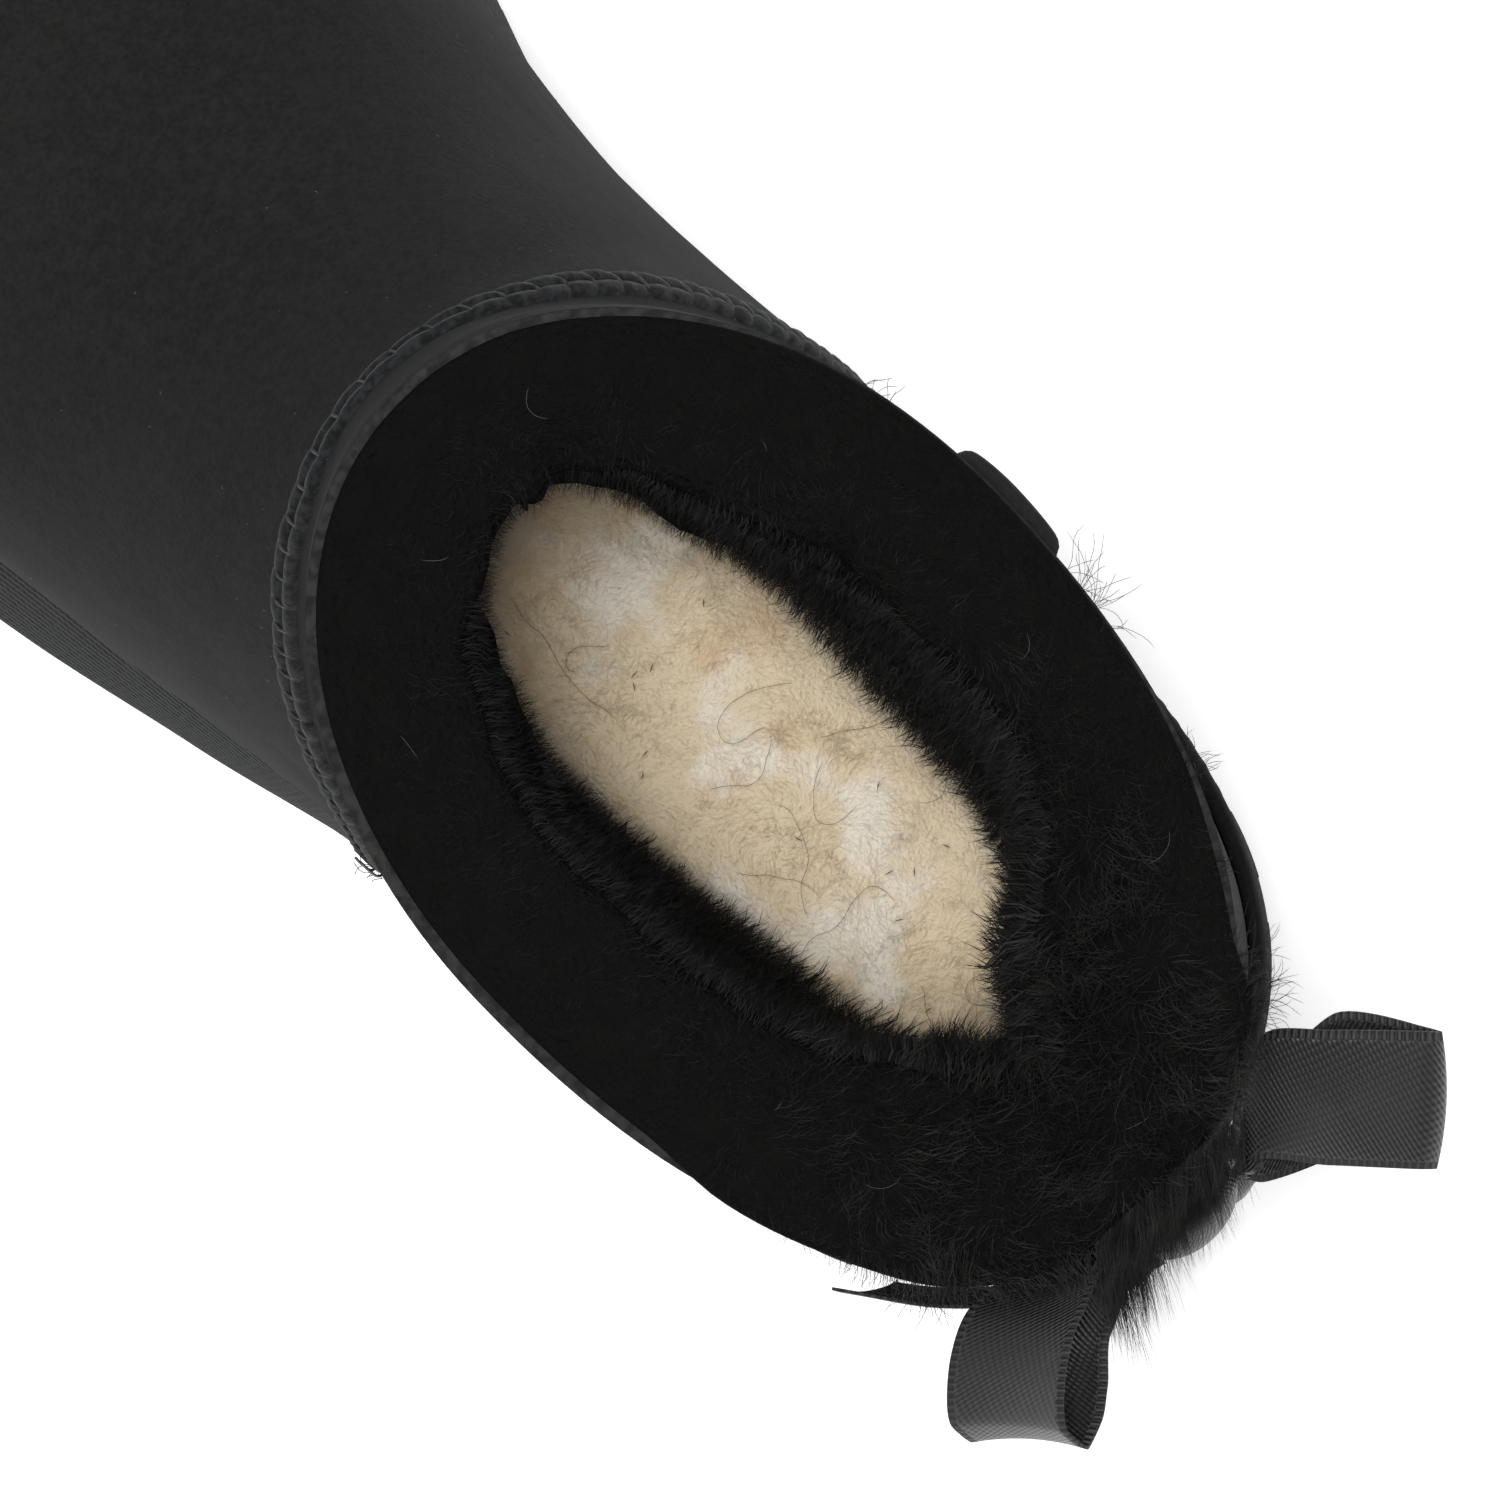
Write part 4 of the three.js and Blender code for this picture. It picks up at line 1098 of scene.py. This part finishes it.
def set_along(name, shape, points, out, ahead, finish):
    """A row of one shape, such as stitches, as one piece."""
    turned = {"up": out, "ahead": ahead}
    spots = piece(f"{name}_host", points, [], finish, None, turned, merge=0, recalc=False)
    made = grow(name, spots, SET_TREE, {"Shape": shape, "Material": finish.material}, finish)
    bpy.data.objects.remove(spots)
    return made


def stitch_shape(name, length, height, thick, lean=0.0):
    """One stitch as an arched thread along x in millimetres, its feet at the surface."""
    points, faces = [], []
    steps, sides = 8, 5
    for k in range(steps + 1):
        t = k / steps
        arch = height * (math.sin(math.pi * t) ** 0.6) - 0.25
        centre = Vector(((t - 0.5) * length, lean * (t - 0.5), arch))
        for side in range(sides):
            angle = side * 2 * math.pi / sides
            ring = Vector((0, math.cos(angle), math.sin(angle))) * thick / 2
            points.append((centre + ring) / 1000)
        if k:
            for side in range(sides):
                nxt = (side + 1) % sides
                behind, here = (k - 1) * sides, k * sides
                faces.append([behind + side, behind + nxt, here + nxt, here + side])
    faces += [list(range(sides))[::-1], [steps * sides + side for side in range(sides)]]
    mesh = bpy.data.meshes.new(name)
    mesh.from_pydata(points, [], faces)
    made = bpy.data.objects.new(name, mesh)
    scene.collection.objects.link(made)
    return made


whip = stitch_shape("whip_stitch", 3.9, 1.22, 0.40, 1.2)
pinch = np.round(np.arange(1, seam_run[-1] / SEAM_STITCH - 0.5) * SEAM_STITCH / LIP_STEP).astype(int)
set_along("seam_thread", whip, seam_line[pinch], seam_out[pinch], seam_across[pinch], thread)
bpy.data.objects.remove(whip)

# ---- Thread ends ---------------------------------------------------------------------------------
# The seam's two threads run taut over its last part to the sole on the outer side, where they are cut
# and have frayed into short curls.


def tube(path, radius, sides=5):
    """Points and faces of a thread along a path of points, narrowing to its ends."""
    path = np.asarray(path, float)
    ahead = unit(np.gradient(path, axis=0))
    aside = unit(np.cross(ahead, [0.13, 0.21, 0.97]))
    size = radius * np.clip(np.minimum(np.arange(len(path)), np.arange(len(path))[::-1]) + 0.6, 0, 2) / 2
    return rolled(path, np.cross(ahead, aside), aside, size, sides)


def joined(parts):
    """Several lots of points and faces as one."""
    points, faces = [], []
    for some_points, some_faces in parts:
        faces += [[len(points) + k for k in face] for face in some_faces]
        points += np.asarray(some_points).tolist()
    return points, faces


def curl(start, heading, length, bend, seed, steps=14):
    """A path that sets off along heading and wanders."""
    dice = np.random.default_rng(seed)
    path, way = [np.array(start, float)], unit(np.array(heading, float))
    turn_axis = unit(dice.normal(size=3))
    for _ in range(steps):
        turn_axis = unit(turn_axis + 0.5 * dice.normal(size=3))
        way = unit(way + bend * np.cross(turn_axis, way))
        path.append(path[-1] + way * length / steps)
    return path


strands = []
outer_foot = [k for k in range(len(seam_line)) if seam_run[k] < 26]
for offset in (-0.45, 0.5):
    strand = seam_line[outer_foot] + seam_across[outer_foot] * offset + seam_out[outer_foot] * 1.55
    strands.append(tube(strand, 0.16))
end_place = seam_line[8] + seam_out[8] * 1.6
for seed in range(9):
    heading = (-0.3 + 0.15 * (seed % 3), -0.2 + 0.25 * (seed % 4), 0.7)
    start = end_place + [0, 0.5 * (seed % 3), 1.6 * (seed % 4)]
    strands.append(tube(curl(start, heading, 3.6 + 0.6 * (seed % 4), 0.5, seed), 0.055, 3))
thread_ends = piece("thread_ends", *joined(strands), thread, "black_thread", merge=0)
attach(thread_ends, "root")

# ---- Heel counter --------------------------------------------------------------------------------
# A second layer of the same hide laid over the back of the boot, from the sole to below the bow. Its
# cut edge is rounded and it's held by two rows of stitches round its curved border.

COUNTER_FRONT, COUNTER_SHOULDER = 52, 20
COUNTER_FOOT, COUNTER_TOP, COUNTER_CROWN = 15, 62, 66
COUNTER_IN, COUNTER_OUT = 0.3, 2.1
COUNTER_COLUMNS, COUNTER_ROWS = 150, 44


def counter_top(y):
    """Height of the border above the floor: level over the back, then round and down to the sole."""
    fall = np.clip((y - COUNTER_SHOULDER) / (COUNTER_FRONT - COUNTER_SHOULDER), 0, 1)
    round_part = COUNTER_FOOT + (COUNTER_TOP - COUNTER_FOOT) * np.sqrt(1 - fall**2)
    slope_part = np.clip((y - 8) / (COUNTER_SHOULDER - 8), 0, 1)
    top_part = COUNTER_CROWN + (COUNTER_TOP - COUNTER_CROWN) * slope_part
    return np.where(y < COUNTER_SHOULDER, top_part, round_part)


def halve(inside, low, high):
    """The border between where inside holds, at low, and where it doesn't, at high."""
    for _ in range(26):
        middle = (low + high) / 2
        good = inside(middle)
        low, high = np.where(good, middle, low), np.where(good, high, middle)
    return (low + high) / 2


def counter_foot_station(turn):
    def under(station):
        point = skin(station, turn)
        return point[..., 2] < sole_top(point[..., 1]) + GAP
    return halve(under, np.full(turn.shape, 7.0), np.full(turn.shape, 11.9))


def counter_top_station(turn):
    def under(station):
        point = skin(station, turn)
        return point[..., 2] < counter_top(point[..., 1])
    return halve(under, np.full(turn.shape, 7.0), np.full(turn.shape, 11.9))


def past_front(turn):
    return skin(counter_foot_station(turn), turn)[..., 1] < COUNTER_FRONT - 0.4


widest_turn = float(halve(past_front, np.array(math.pi), np.array(1.2)))
around_heel = math.pi - (math.pi - widest_turn) * np.sin(np.linspace(-1, 1, COUNTER_COLUMNS) * math.pi / 2)
mirrored = np.where(around_heel > math.pi, 2 * math.pi - around_heel, around_heel)
foot_stations, top_stations = counter_foot_station(mirrored), counter_top_station(mirrored)
top_stations = np.maximum(top_stations, foot_stations + 0.01)
share = np.linspace(0, 1, COUNTER_ROWS)[:, None]
counter_station = foot_stations + (top_stations - foot_stations) * share
counter_turn = np.broadcast_to(around_heel, counter_station.shape)


def counter_layer(height):
    """The counter's points at a height over the skin, drawn in round its border."""
    return body(counter_station, counter_turn, height)


counter_noise = 0.12 * lumps(counter_layer(COUNTER_OUT), 12, 51).reshape(counter_station.shape)
counter_face = body(counter_station, counter_turn, COUNTER_OUT + counter_noise)
edge_ring = np.minimum(np.arange(COUNTER_COLUMNS), np.arange(COUNTER_COLUMNS)[::-1])[None, :]
edge_round = np.minimum(np.minimum(edge_ring, np.arange(COUNTER_ROWS)[::-1][:, None]), 2)
edge_drop = np.array([0.55, 0.14, 0])[edge_round]
counter_face = counter_face - outward(counter_station, counter_turn) * edge_drop[..., None]
counter_back = counter_layer(COUNTER_IN)
count = COUNTER_ROWS * COUNTER_COLUMNS
counter_points = np.concatenate([counter_face.reshape(-1, 3), counter_back.reshape(-1, 3)])
counter_faces = grid_faces(COUNTER_ROWS, COUNTER_COLUMNS) + grid_faces(COUNTER_ROWS, COUNTER_COLUMNS, count)
border = [k for k in range(COUNTER_COLUMNS)]
border += [row * COUNTER_COLUMNS + COUNTER_COLUMNS - 1 for row in range(1, COUNTER_ROWS)]
border += [(COUNTER_ROWS - 1) * COUNTER_COLUMNS + k for k in reversed(range(COUNTER_COLUMNS - 1))]
border += [row * COUNTER_COLUMNS for row in reversed(range(1, COUNTER_ROWS - 1))]
for first, second in zip(border, border[1:] + border[:1]):
    counter_faces.append([first, second, second + count, first + count])
counter_piece = piece("heel_counter_hide", counter_points, counter_faces, nubuck, "black_hide",
                      {"raw": np.zeros(2 * count)})
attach(counter_piece, "root")
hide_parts("heel_counter")

flat_stitch = stitch_shape("flat_stitch", 2.6, 0.2, 0.34)
stitch_points, stitch_out, stitch_ahead = [], [], []
for inset in (2.2, 4.6):
    border_line, border_normal = [], []
    for column in range(COUNTER_COLUMNS):
        if counter_face[-1, column, 2] - counter_face[0, column, 2] < inset + 1:
            continue
        rows = counter_face[:, column]
        height = np.linalg.norm(rows[-1] - rows, axis=1)
        row = float(np.interp(-inset, -height, np.arange(COUNTER_ROWS)))
        station_here = np.interp(row, np.arange(COUNTER_ROWS), counter_station[:, column])
        border_line.append(body(station_here, counter_turn[0, column], COUNTER_OUT + 0.02))
        border_normal.append(outward(station_here, counter_turn[0, column]))
    border_line, border_normal = np.array(border_line), np.array(border_normal)
    run = np.concatenate([[0], np.cumsum(np.linalg.norm(np.diff(border_line, axis=0), axis=1))])
    at = np.arange(1.5, run[-1] - 1.5, 3.3)
    line = np.stack([np.interp(at, run, border_line[:, axis]) for axis in range(3)], -1)
    normal = unit(np.stack([np.interp(at, run, border_normal[:, axis]) for axis in range(3)], -1))
    stitch_points.append(line)
    stitch_out.append(normal)
    stitch_ahead.append(unit(np.gradient(line, axis=0)))
set_along("counter_thread", flat_stitch, np.concatenate(stitch_points),
          np.concatenate(stitch_out), np.concatenate(stitch_ahead), thread)
bpy.data.objects.remove(flat_stitch)

# ---- Side tab ------------------------------------------------------------------------------------
# A small bare tab of the hide sewn on under the collar, on the inner side, with nothing on it.

TAB_THICK = 1.5
TAB_CORNERS = [[(10.53, 81.5), (10.94, 94.5)], [(11.8, 82.6), (11.86, 95.9)]]
tab_u, tab_v = np.meshgrid(np.linspace(0, 1, 25), np.linspace(0, 1, 21))
tab_place = np.array(TAB_CORNERS, float)
tab_low = tab_place[0, 0] * (1 - tab_u[..., None]) + tab_place[0, 1] * tab_u[..., None]
tab_high = tab_place[1, 0] * (1 - tab_u[..., None]) + tab_place[1, 1] * tab_u[..., None]
tab_at = tab_low * (1 - tab_v[..., None]) + tab_high * tab_v[..., None]
tab_station, tab_turn = tab_at[..., 0], np.radians(tab_at[..., 1])
tab_u, tab_v = tab_u * 2 - 1, tab_v * 2 - 1
tab_height = (TAB_THICK + 0.5 * (1 - tab_u**2)) * (1 - np.abs(tab_u) ** 14) * (1 - np.abs(tab_v) ** 16)
tab_points = np.concatenate([body(tab_station, tab_turn, tab_height + 0.02).reshape(-1, 3),
                             body(tab_station, tab_turn, -0.25).reshape(-1, 3)])
tab_faces = grid_faces(21, 25) + grid_faces(21, 25, 21 * 25)
side_tab = piece("side_tab", tab_points, tab_faces, nubuck, "black_hide",
                 {"raw": np.zeros(2 * 21 * 25)}, merge=0)
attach(side_tab, "root")

# ---- Ribbon bow ----------------------------------------------------------------------------------
# A bow of black satin ribbon with corded edges, tied behind the shaft over the slit: a knot, two
# loops pressed flat at their ends and two tails cut square.

RIBBON_WIDTH = 15.5
RIBBON_THICKNESS = 0.32
KNOT = np.array([0, 3.2, 101.5])
RibbonRow = namedtuple("RibbonRow", "x y z heading rise width")
INNER_LOOP = [
    RibbonRow(6.9, 4.2, 103.6, 20, 80, 9),
    RibbonRow(9.4, 6.2, 106.2, 36, 58, 13),
    RibbonRow(12.8, 6.4, 109, 45, 36, RIBBON_WIDTH),
    RibbonRow(18, 1.6, 111.6, 46, 30, RIBBON_WIDTH),
    RibbonRow(24, -4.4, 112.4, 46, 28, RIBBON_WIDTH),
    RibbonRow(25.4, -5.8, 111, 46, 28, RIBBON_WIDTH),
    RibbonRow(24.4, -4.2, 109.2, 46, 28, RIBBON_WIDTH),
    RibbonRow(19, 2.2, 107.6, 48, 24, RIBBON_WIDTH),
    RibbonRow(12, 3.2, 104.4, 42, 42, 15),
    RibbonRow(8.8, 2.8, 102, 30, 62, 11),
    RibbonRow(6.9, 1, 100, 20, 80, 8.5),
]
OUTER_LOOP = [
    RibbonRow(6.9, 4.4, 103.8, 20, 84, 9),
    RibbonRow(10.5, 6.4, 106.6, 34, 104, 13),
    RibbonRow(14.8, 7.6, 109.2, 42, 124, RIBBON_WIDTH),
    RibbonRow(18.8, 7, 110.6, 44, 134, RIBBON_WIDTH),
    RibbonRow(24.2, 3.8, 111, 44, 136, RIBBON_WIDTH),
    RibbonRow(27.6, -0.4, 109.8, 44, 136, RIBBON_WIDTH),
    RibbonRow(27.2, -2.9, 107.4, 44, 136, RIBBON_WIDTH),
    RibbonRow(24.6, -2, 105.6, 44, 136, RIBBON_WIDTH),
    RibbonRow(21.6, 0, 105.6, 44, 134, RIBBON_WIDTH),
    RibbonRow(17.2, 3.2, 106.2, 42, 128, RIBBON_WIDTH),
    RibbonRow(12.2, 3.6, 104.4, 38, 112, 13.5),
    RibbonRow(9, 2.8, 102.2, 30, 98, 11),
    RibbonRow(6.9, 1.2, 100.2, 20, 84, 8.5),
]
OUTER_TAIL = [
    RibbonRow(4.9, 1.6, 91.4, -10, 80, 7.5),
    RibbonRow(12, 3.4, 89.4, -30, 86, 12.5),
    RibbonRow(18.4, 8, 89.2, -46, 86, RIBBON_WIDTH),
    RibbonRow(24.6, 13.6, 88, -50, 86, RIBBON_WIDTH),
    RibbonRow(28.8, 19, 86.4, -52, 86, RIBBON_WIDTH),
]
INNER_TAIL = [
    RibbonRow(4.4, 1.6, 94.6, 4, 24, 8),
    RibbonRow(8.6, 0.8, 88, 12, 20, 12),
    RibbonRow(12.6, 1.6, 82, 20, 26, RIBBON_WIDTH),
    RibbonRow(16.4, 2, 75.5, 24, 26, RIBBON_WIDTH),
    RibbonRow(18.6, 2.2, 71.5, 26, 26, RIBBON_WIDTH),
]

satin = Finish("satin_ribbon", {"Specular IOR Level": 0.45, "Anisotropic": 0.4})
cloth = satin.attribute("cloth")
cross, run_mm = cloth.part("x"), cloth.part("y")
twill = ((cross * 0.55 + run_mm) * (2 * math.pi / 0.52)).sin()
float_end = ((cross - run_mm * 0.5) * (2 * math.pi / 0.9)).sin()
from_edge = satin.node("ShaderNodeMath", {"operation": "ABSOLUTE"}, {0: cross})
selvage = from_edge.ramp(RIBBON_WIDTH / 2 - 0.95, RIBBON_WIDTH / 2 - 0.8)
beads = (run_mm * (2 * math.pi / 0.75)).sin()
plain = 1 - selvage
# The tops of the twill floats and the beads of the corded edges are painted lighter than the black dye: the
# weave is real, its lighter tops are a painted sheen.
painted_thread_sheen = (twill * 0.5 + float_end * 0.2).ramp(-0.5, 0.6) * plain + selvage * beads.ramp(-0.2, 0.8) * 1.6
satin.set("Base Color", satin.blend(painted_thread_sheen, grey(0.0045, 0.02), grey(0.024, 0.02)))
satin.relief((twill * 0.4 + float_end * 0.15) * plain + selvage * beads * 1.1, 0.1)
satin.set("Roughness", selvage * 0.25 + 0.4 + satin.noise(3) * 0.06)


def ribbon(name, rows, side, replaced, steps=120, across_steps=12, slant=0.0):
    """A ribbon through its rows, as thin cloth with two faces and its edges closed."""
    column = columns(rows, None)
    place = np.linspace(0, len(rows) - 1, steps)

    def centre(where):
        where = np.clip(where, 0, len(rows) - 1)
        return np.stack([column[axis](where) for axis in "xyz"], -1)

    heading = np.radians(column["heading"](place))
    rise = np.radians(column["rise"](place))
    width = np.stack([np.cos(heading) * np.cos(rise), np.sin(heading) * np.cos(rise), np.sin(rise)], -1)
    forward = unit(centre(place + 0.25) - centre(place - 0.25))
    through = unit(np.cross(forward, width))
    middle = centre(place)
    run = np.concatenate([[0], np.cumsum(np.linalg.norm(np.diff(middle, axis=0), axis=1))])
    share = np.linspace(-1, 1, across_steps + 1)
    spread = column["width"](place) / 2
    crumple = (RIBBON_WIDTH - 2 * spread)[:, None] * 0.10 * np.cos(3 * math.pi * share)[None, :]
    bow_out = 0.7 * (1 - share**2)[None, :] * np.ones((steps, 1))
    end = np.clip(place - len(rows) + 2, 0, 1) ** 2
    skew = forward[:, None] * (slant * end[:, None] * share[None, :])[..., None]
    layers, cloths = [], []
    for face in (0.5, -0.5):
        lift = face * RIBBON_THICKNESS + crumple + bow_out
        layer = middle[:, None] + width[:, None] * (spread[:, None] * share[None, :])[..., None]
        layers.append(layer + skew + through[:, None] * lift[..., None])
        cloths.append(np.stack(np.broadcast_arrays(share[None, :] * RIBBON_WIDTH / 2, run[:, None], 0.0), -1))
    points = np.concatenate([layer.reshape(-1, 3) for layer in layers]) * [side, 1, 1]
    wide = across_steps + 1
    count = steps * wide
    faces = grid_faces(steps, wide) + grid_faces(steps, wide, count)
    border = list(range(wide)) + [row * wide + wide - 1 for row in range(1, steps)]
    border += [(steps - 1) * wide + k for k in reversed(range(wide - 1))]
    border += [row * wide for row in reversed(range(1, steps - 1))]
    faces += [[a, b, b + count, a + count] for a, b in zip(border, border[1:] + border[:1])]
    cloth_map = np.concatenate([part.reshape(-1, 3) for part in cloths])
    made = piece(name, points, faces, satin, "black_satin", {"cloth": cloth_map}, merge=0)
    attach(made, "root")
    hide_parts(replaced)
    return made


ribbon("loop_inner_ribbon", INNER_LOOP, 1, "bow_loop_inner")
ribbon("loop_outer_ribbon", OUTER_LOOP, -1, "bow_loop_outer")
ribbon("tail_inner_ribbon", INNER_TAIL, 1, "bow_tail_inner", steps=50, slant=-3.5)
ribbon("tail_outer_ribbon", OUTER_TAIL, -1, "bow_tail_outer", steps=50, slant=3.5)

KNOT_REACH = np.array([5.9, 4, 8])
knot_v, knot_u = np.meshgrid(np.linspace(0, math.pi, 40), np.arange(64) * 2 * math.pi / 64, indexing="ij")
ball = np.stack([np.sin(knot_v) * np.cos(knot_u), np.sin(knot_v) * np.sin(knot_u), np.cos(knot_v)], -1)
fold = 0.035 * np.sin(5 * knot_v + 0.6 * np.sin(knot_u * 2)) - 0.05 * np.abs(np.cos(knot_v)) ** 6
knot_points = KNOT + ball * KNOT_REACH * (1 + fold)[..., None]
knot_cloth = np.stack([knot_v / math.pi * 14 - 7, knot_u * 4, 0 * knot_u], -1)
knot_faces = grid_faces(40, 64, closed=True)
knot = piece("knot_ribbon", knot_points.reshape(-1, 3), knot_faces, satin, "black_satin",
             {"cloth": knot_cloth.reshape(-1, 3)})
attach(knot, "root")
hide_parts("bow_knot")

# ---- Loose hairs ---------------------------------------------------------------------------------
# Coarse dark hairs and bits of chaff lie in the fleece, pale ones on the wool, a few wisps of the wool
# stand out past the collar, and lint has settled on the nubuck.

hair = Finish("loose_hair", {"Base Color": (0.09, 0.06, 0.035, 1), "Roughness": 0.6})
pale_hair = Finish("pale_hair", {"Base Color": grey(0.12, 0.03), "Roughness": 0.7})


def pad_height(x, y):
    """Height of the insole's pile at a place in plan."""
    away = (pad_flat[:, 0] - x) ** 2 + (pad_flat[:, 1] - y) ** 2
    return pad_flat[away.argmin(), 2]


def lying_hair(x, y, length, seed, lift, height):
    """A hair that wanders level over a surface whose height is given by a function."""
    dice = np.random.default_rng(seed)
    way, bend, path = dice.uniform(0, 2 * math.pi), dice.normal() * 0.06, []
    steps = int(length / 0.5)
    for _ in range(steps):
        path.append((x, y, height(x, y) + lift))
        bend = 0.86 * bend + 0.11 * dice.normal()
        way += bend
        x, y = x + 0.5 * math.cos(way), y + 0.5 * math.sin(way)
    heights = np.array(path)[:, 2]
    kernel = np.ones(7) / 7
    smoothed = np.convolve(np.pad(heights, 3, mode="edge"), kernel, mode="valid")
    return np.column_stack([np.array(path)[:, :2], smoothed])


HAIRS = [(8, 68, 17), (-8, 78, 18), (-2, 60, 14), (4, 54, 12), (-6, 66, 11), (0, 44, 15), (9, 50, 13),
         (-10, 58, 10), (-3, 84, 8), (6, 62, 16), (-4, 36, 12), (2, 32, 9)]
dark = [tube(lying_hair(x, y, length, 70 + k, 2.0, pad_height), 0.030, 3)
        for k, (x, y, length) in enumerate(HAIRS)]
dice = np.random.default_rng(5)
for _ in range(18):
    x, y = dice.uniform(-11, 11), dice.uniform(30, 92)
    dark.append(tube(lying_hair(x, y, 1.6, int(dice.integers(1e6)), 1.9, pad_height), 0.09, 4))
fleece_hairs = piece("fleece_hairs", *joined(dark), hair, "cream_fleece", merge=0)
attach(fleece_hairs, "root")

PALE_PLACES = [(-170, 0.5), (-158, 0.35), (-140, 0.5), (-120, 0.4), (-60, 0.5), (20, 0.6), (60, 0.45),
               (100, 0.5), (130, 0.6), (165, 0.45), (-25, 0.4), (178, 0.55)]
pale = []
for k, (turn_deg, share) in enumerate(PALE_PLACES):
    column = int(np.argmin(np.abs(rim_turn - math.radians(turn_deg))))
    spot = wool_inner[-1, column] * (1 - share) + rim_outer[column] * share + [0, 0, RIM_RISE + 0.9]
    level = spot[2]
    path = lying_hair(spot[0], spot[1], 2.2 + 1.5 * (k % 3), 90 + k, 0.4, lambda x, y: level)
    pale.append(tube(path, 0.016, 3))
pale_hairs = piece("pale_hairs", *joined(pale), pale_hair, "black_wool", merge=0)
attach(pale_hairs, "root")

Wisp = namedtuple("Wisp", "turn heading count long")
WISPS = [
    Wisp(72, (0.75, 0.45, 0.0), 12, 4.5),
    Wisp(101, (0.95, -0.2, -0.1), 34, 7.5),
    Wisp(122, (0.80, 0.25, 0.05), 36, 5.0),
    Wisp(133, (0.95, -0.05, -0.05), 26, 3.4),
    Wisp(146, (0.90, 0.1, -0.1), 40, 6.0),
    Wisp(152, (0.85, -0.1, -0.1), 60, 7.0),
    Wisp(158, (0.8, -0.35, -0.2), 40, 5.0),
    Wisp(-146, (-0.95, -0.1, -0.2), 26, 6.0),
    Wisp(-153, (-0.8, -0.5, -0.2), 40, 5.0),
]
dice = np.random.default_rng(8)
wisps = []
for wisp in WISPS:
    for _ in range(wisp.count):
        at = math.radians(wisp.turn + dice.normal() * 1.3)
        column = int(np.argmin(np.abs(rim_turn - at)))
        spot = rim_outer[column] + np.array([0, 0, -0.5]) - 0.8 * np.array(wisp.heading)
        heading = np.array(wisp.heading) + 0.28 * dice.normal(size=3)
        length = wisp.long * dice.uniform(0.4, 1.15)
        wisps.append(tube(curl(spot, heading, length, 0.22, int(dice.integers(1e6)), 10), 0.03, 3))
wool_wisps = piece("wool_wisps", *joined(wisps), wool, "black_wool", merge=0)
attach(wool_wisps, "root")

lint = []
dice = np.random.default_rng(12)
for _ in range(90):
    station, turn = dice.uniform(-0.4, 7.2), dice.uniform(-1.7, 1.7)
    spot = body(station, turn, 0.32)
    aside = unit(np.cross(outward(station, turn), dice.normal(size=3)))
    long = dice.uniform(0.1, 0.5)
    crown = spot + 0.1 * outward(station, turn)
    lint.append(tube([spot - aside * long / 2, crown, spot + aside * long / 2], 0.04, 3))
nubuck_lint = piece("nubuck_lint", *joined(lint), pale_hair, "black_hide", merge=0)
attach(nubuck_lint, "root")

for leftover in [item for item in bpy.data.objects if item.name.split(".")[0] in ("lock", "fibre")]:
    bpy.data.objects.remove(leftover)

bpy.context.view_layer.update()
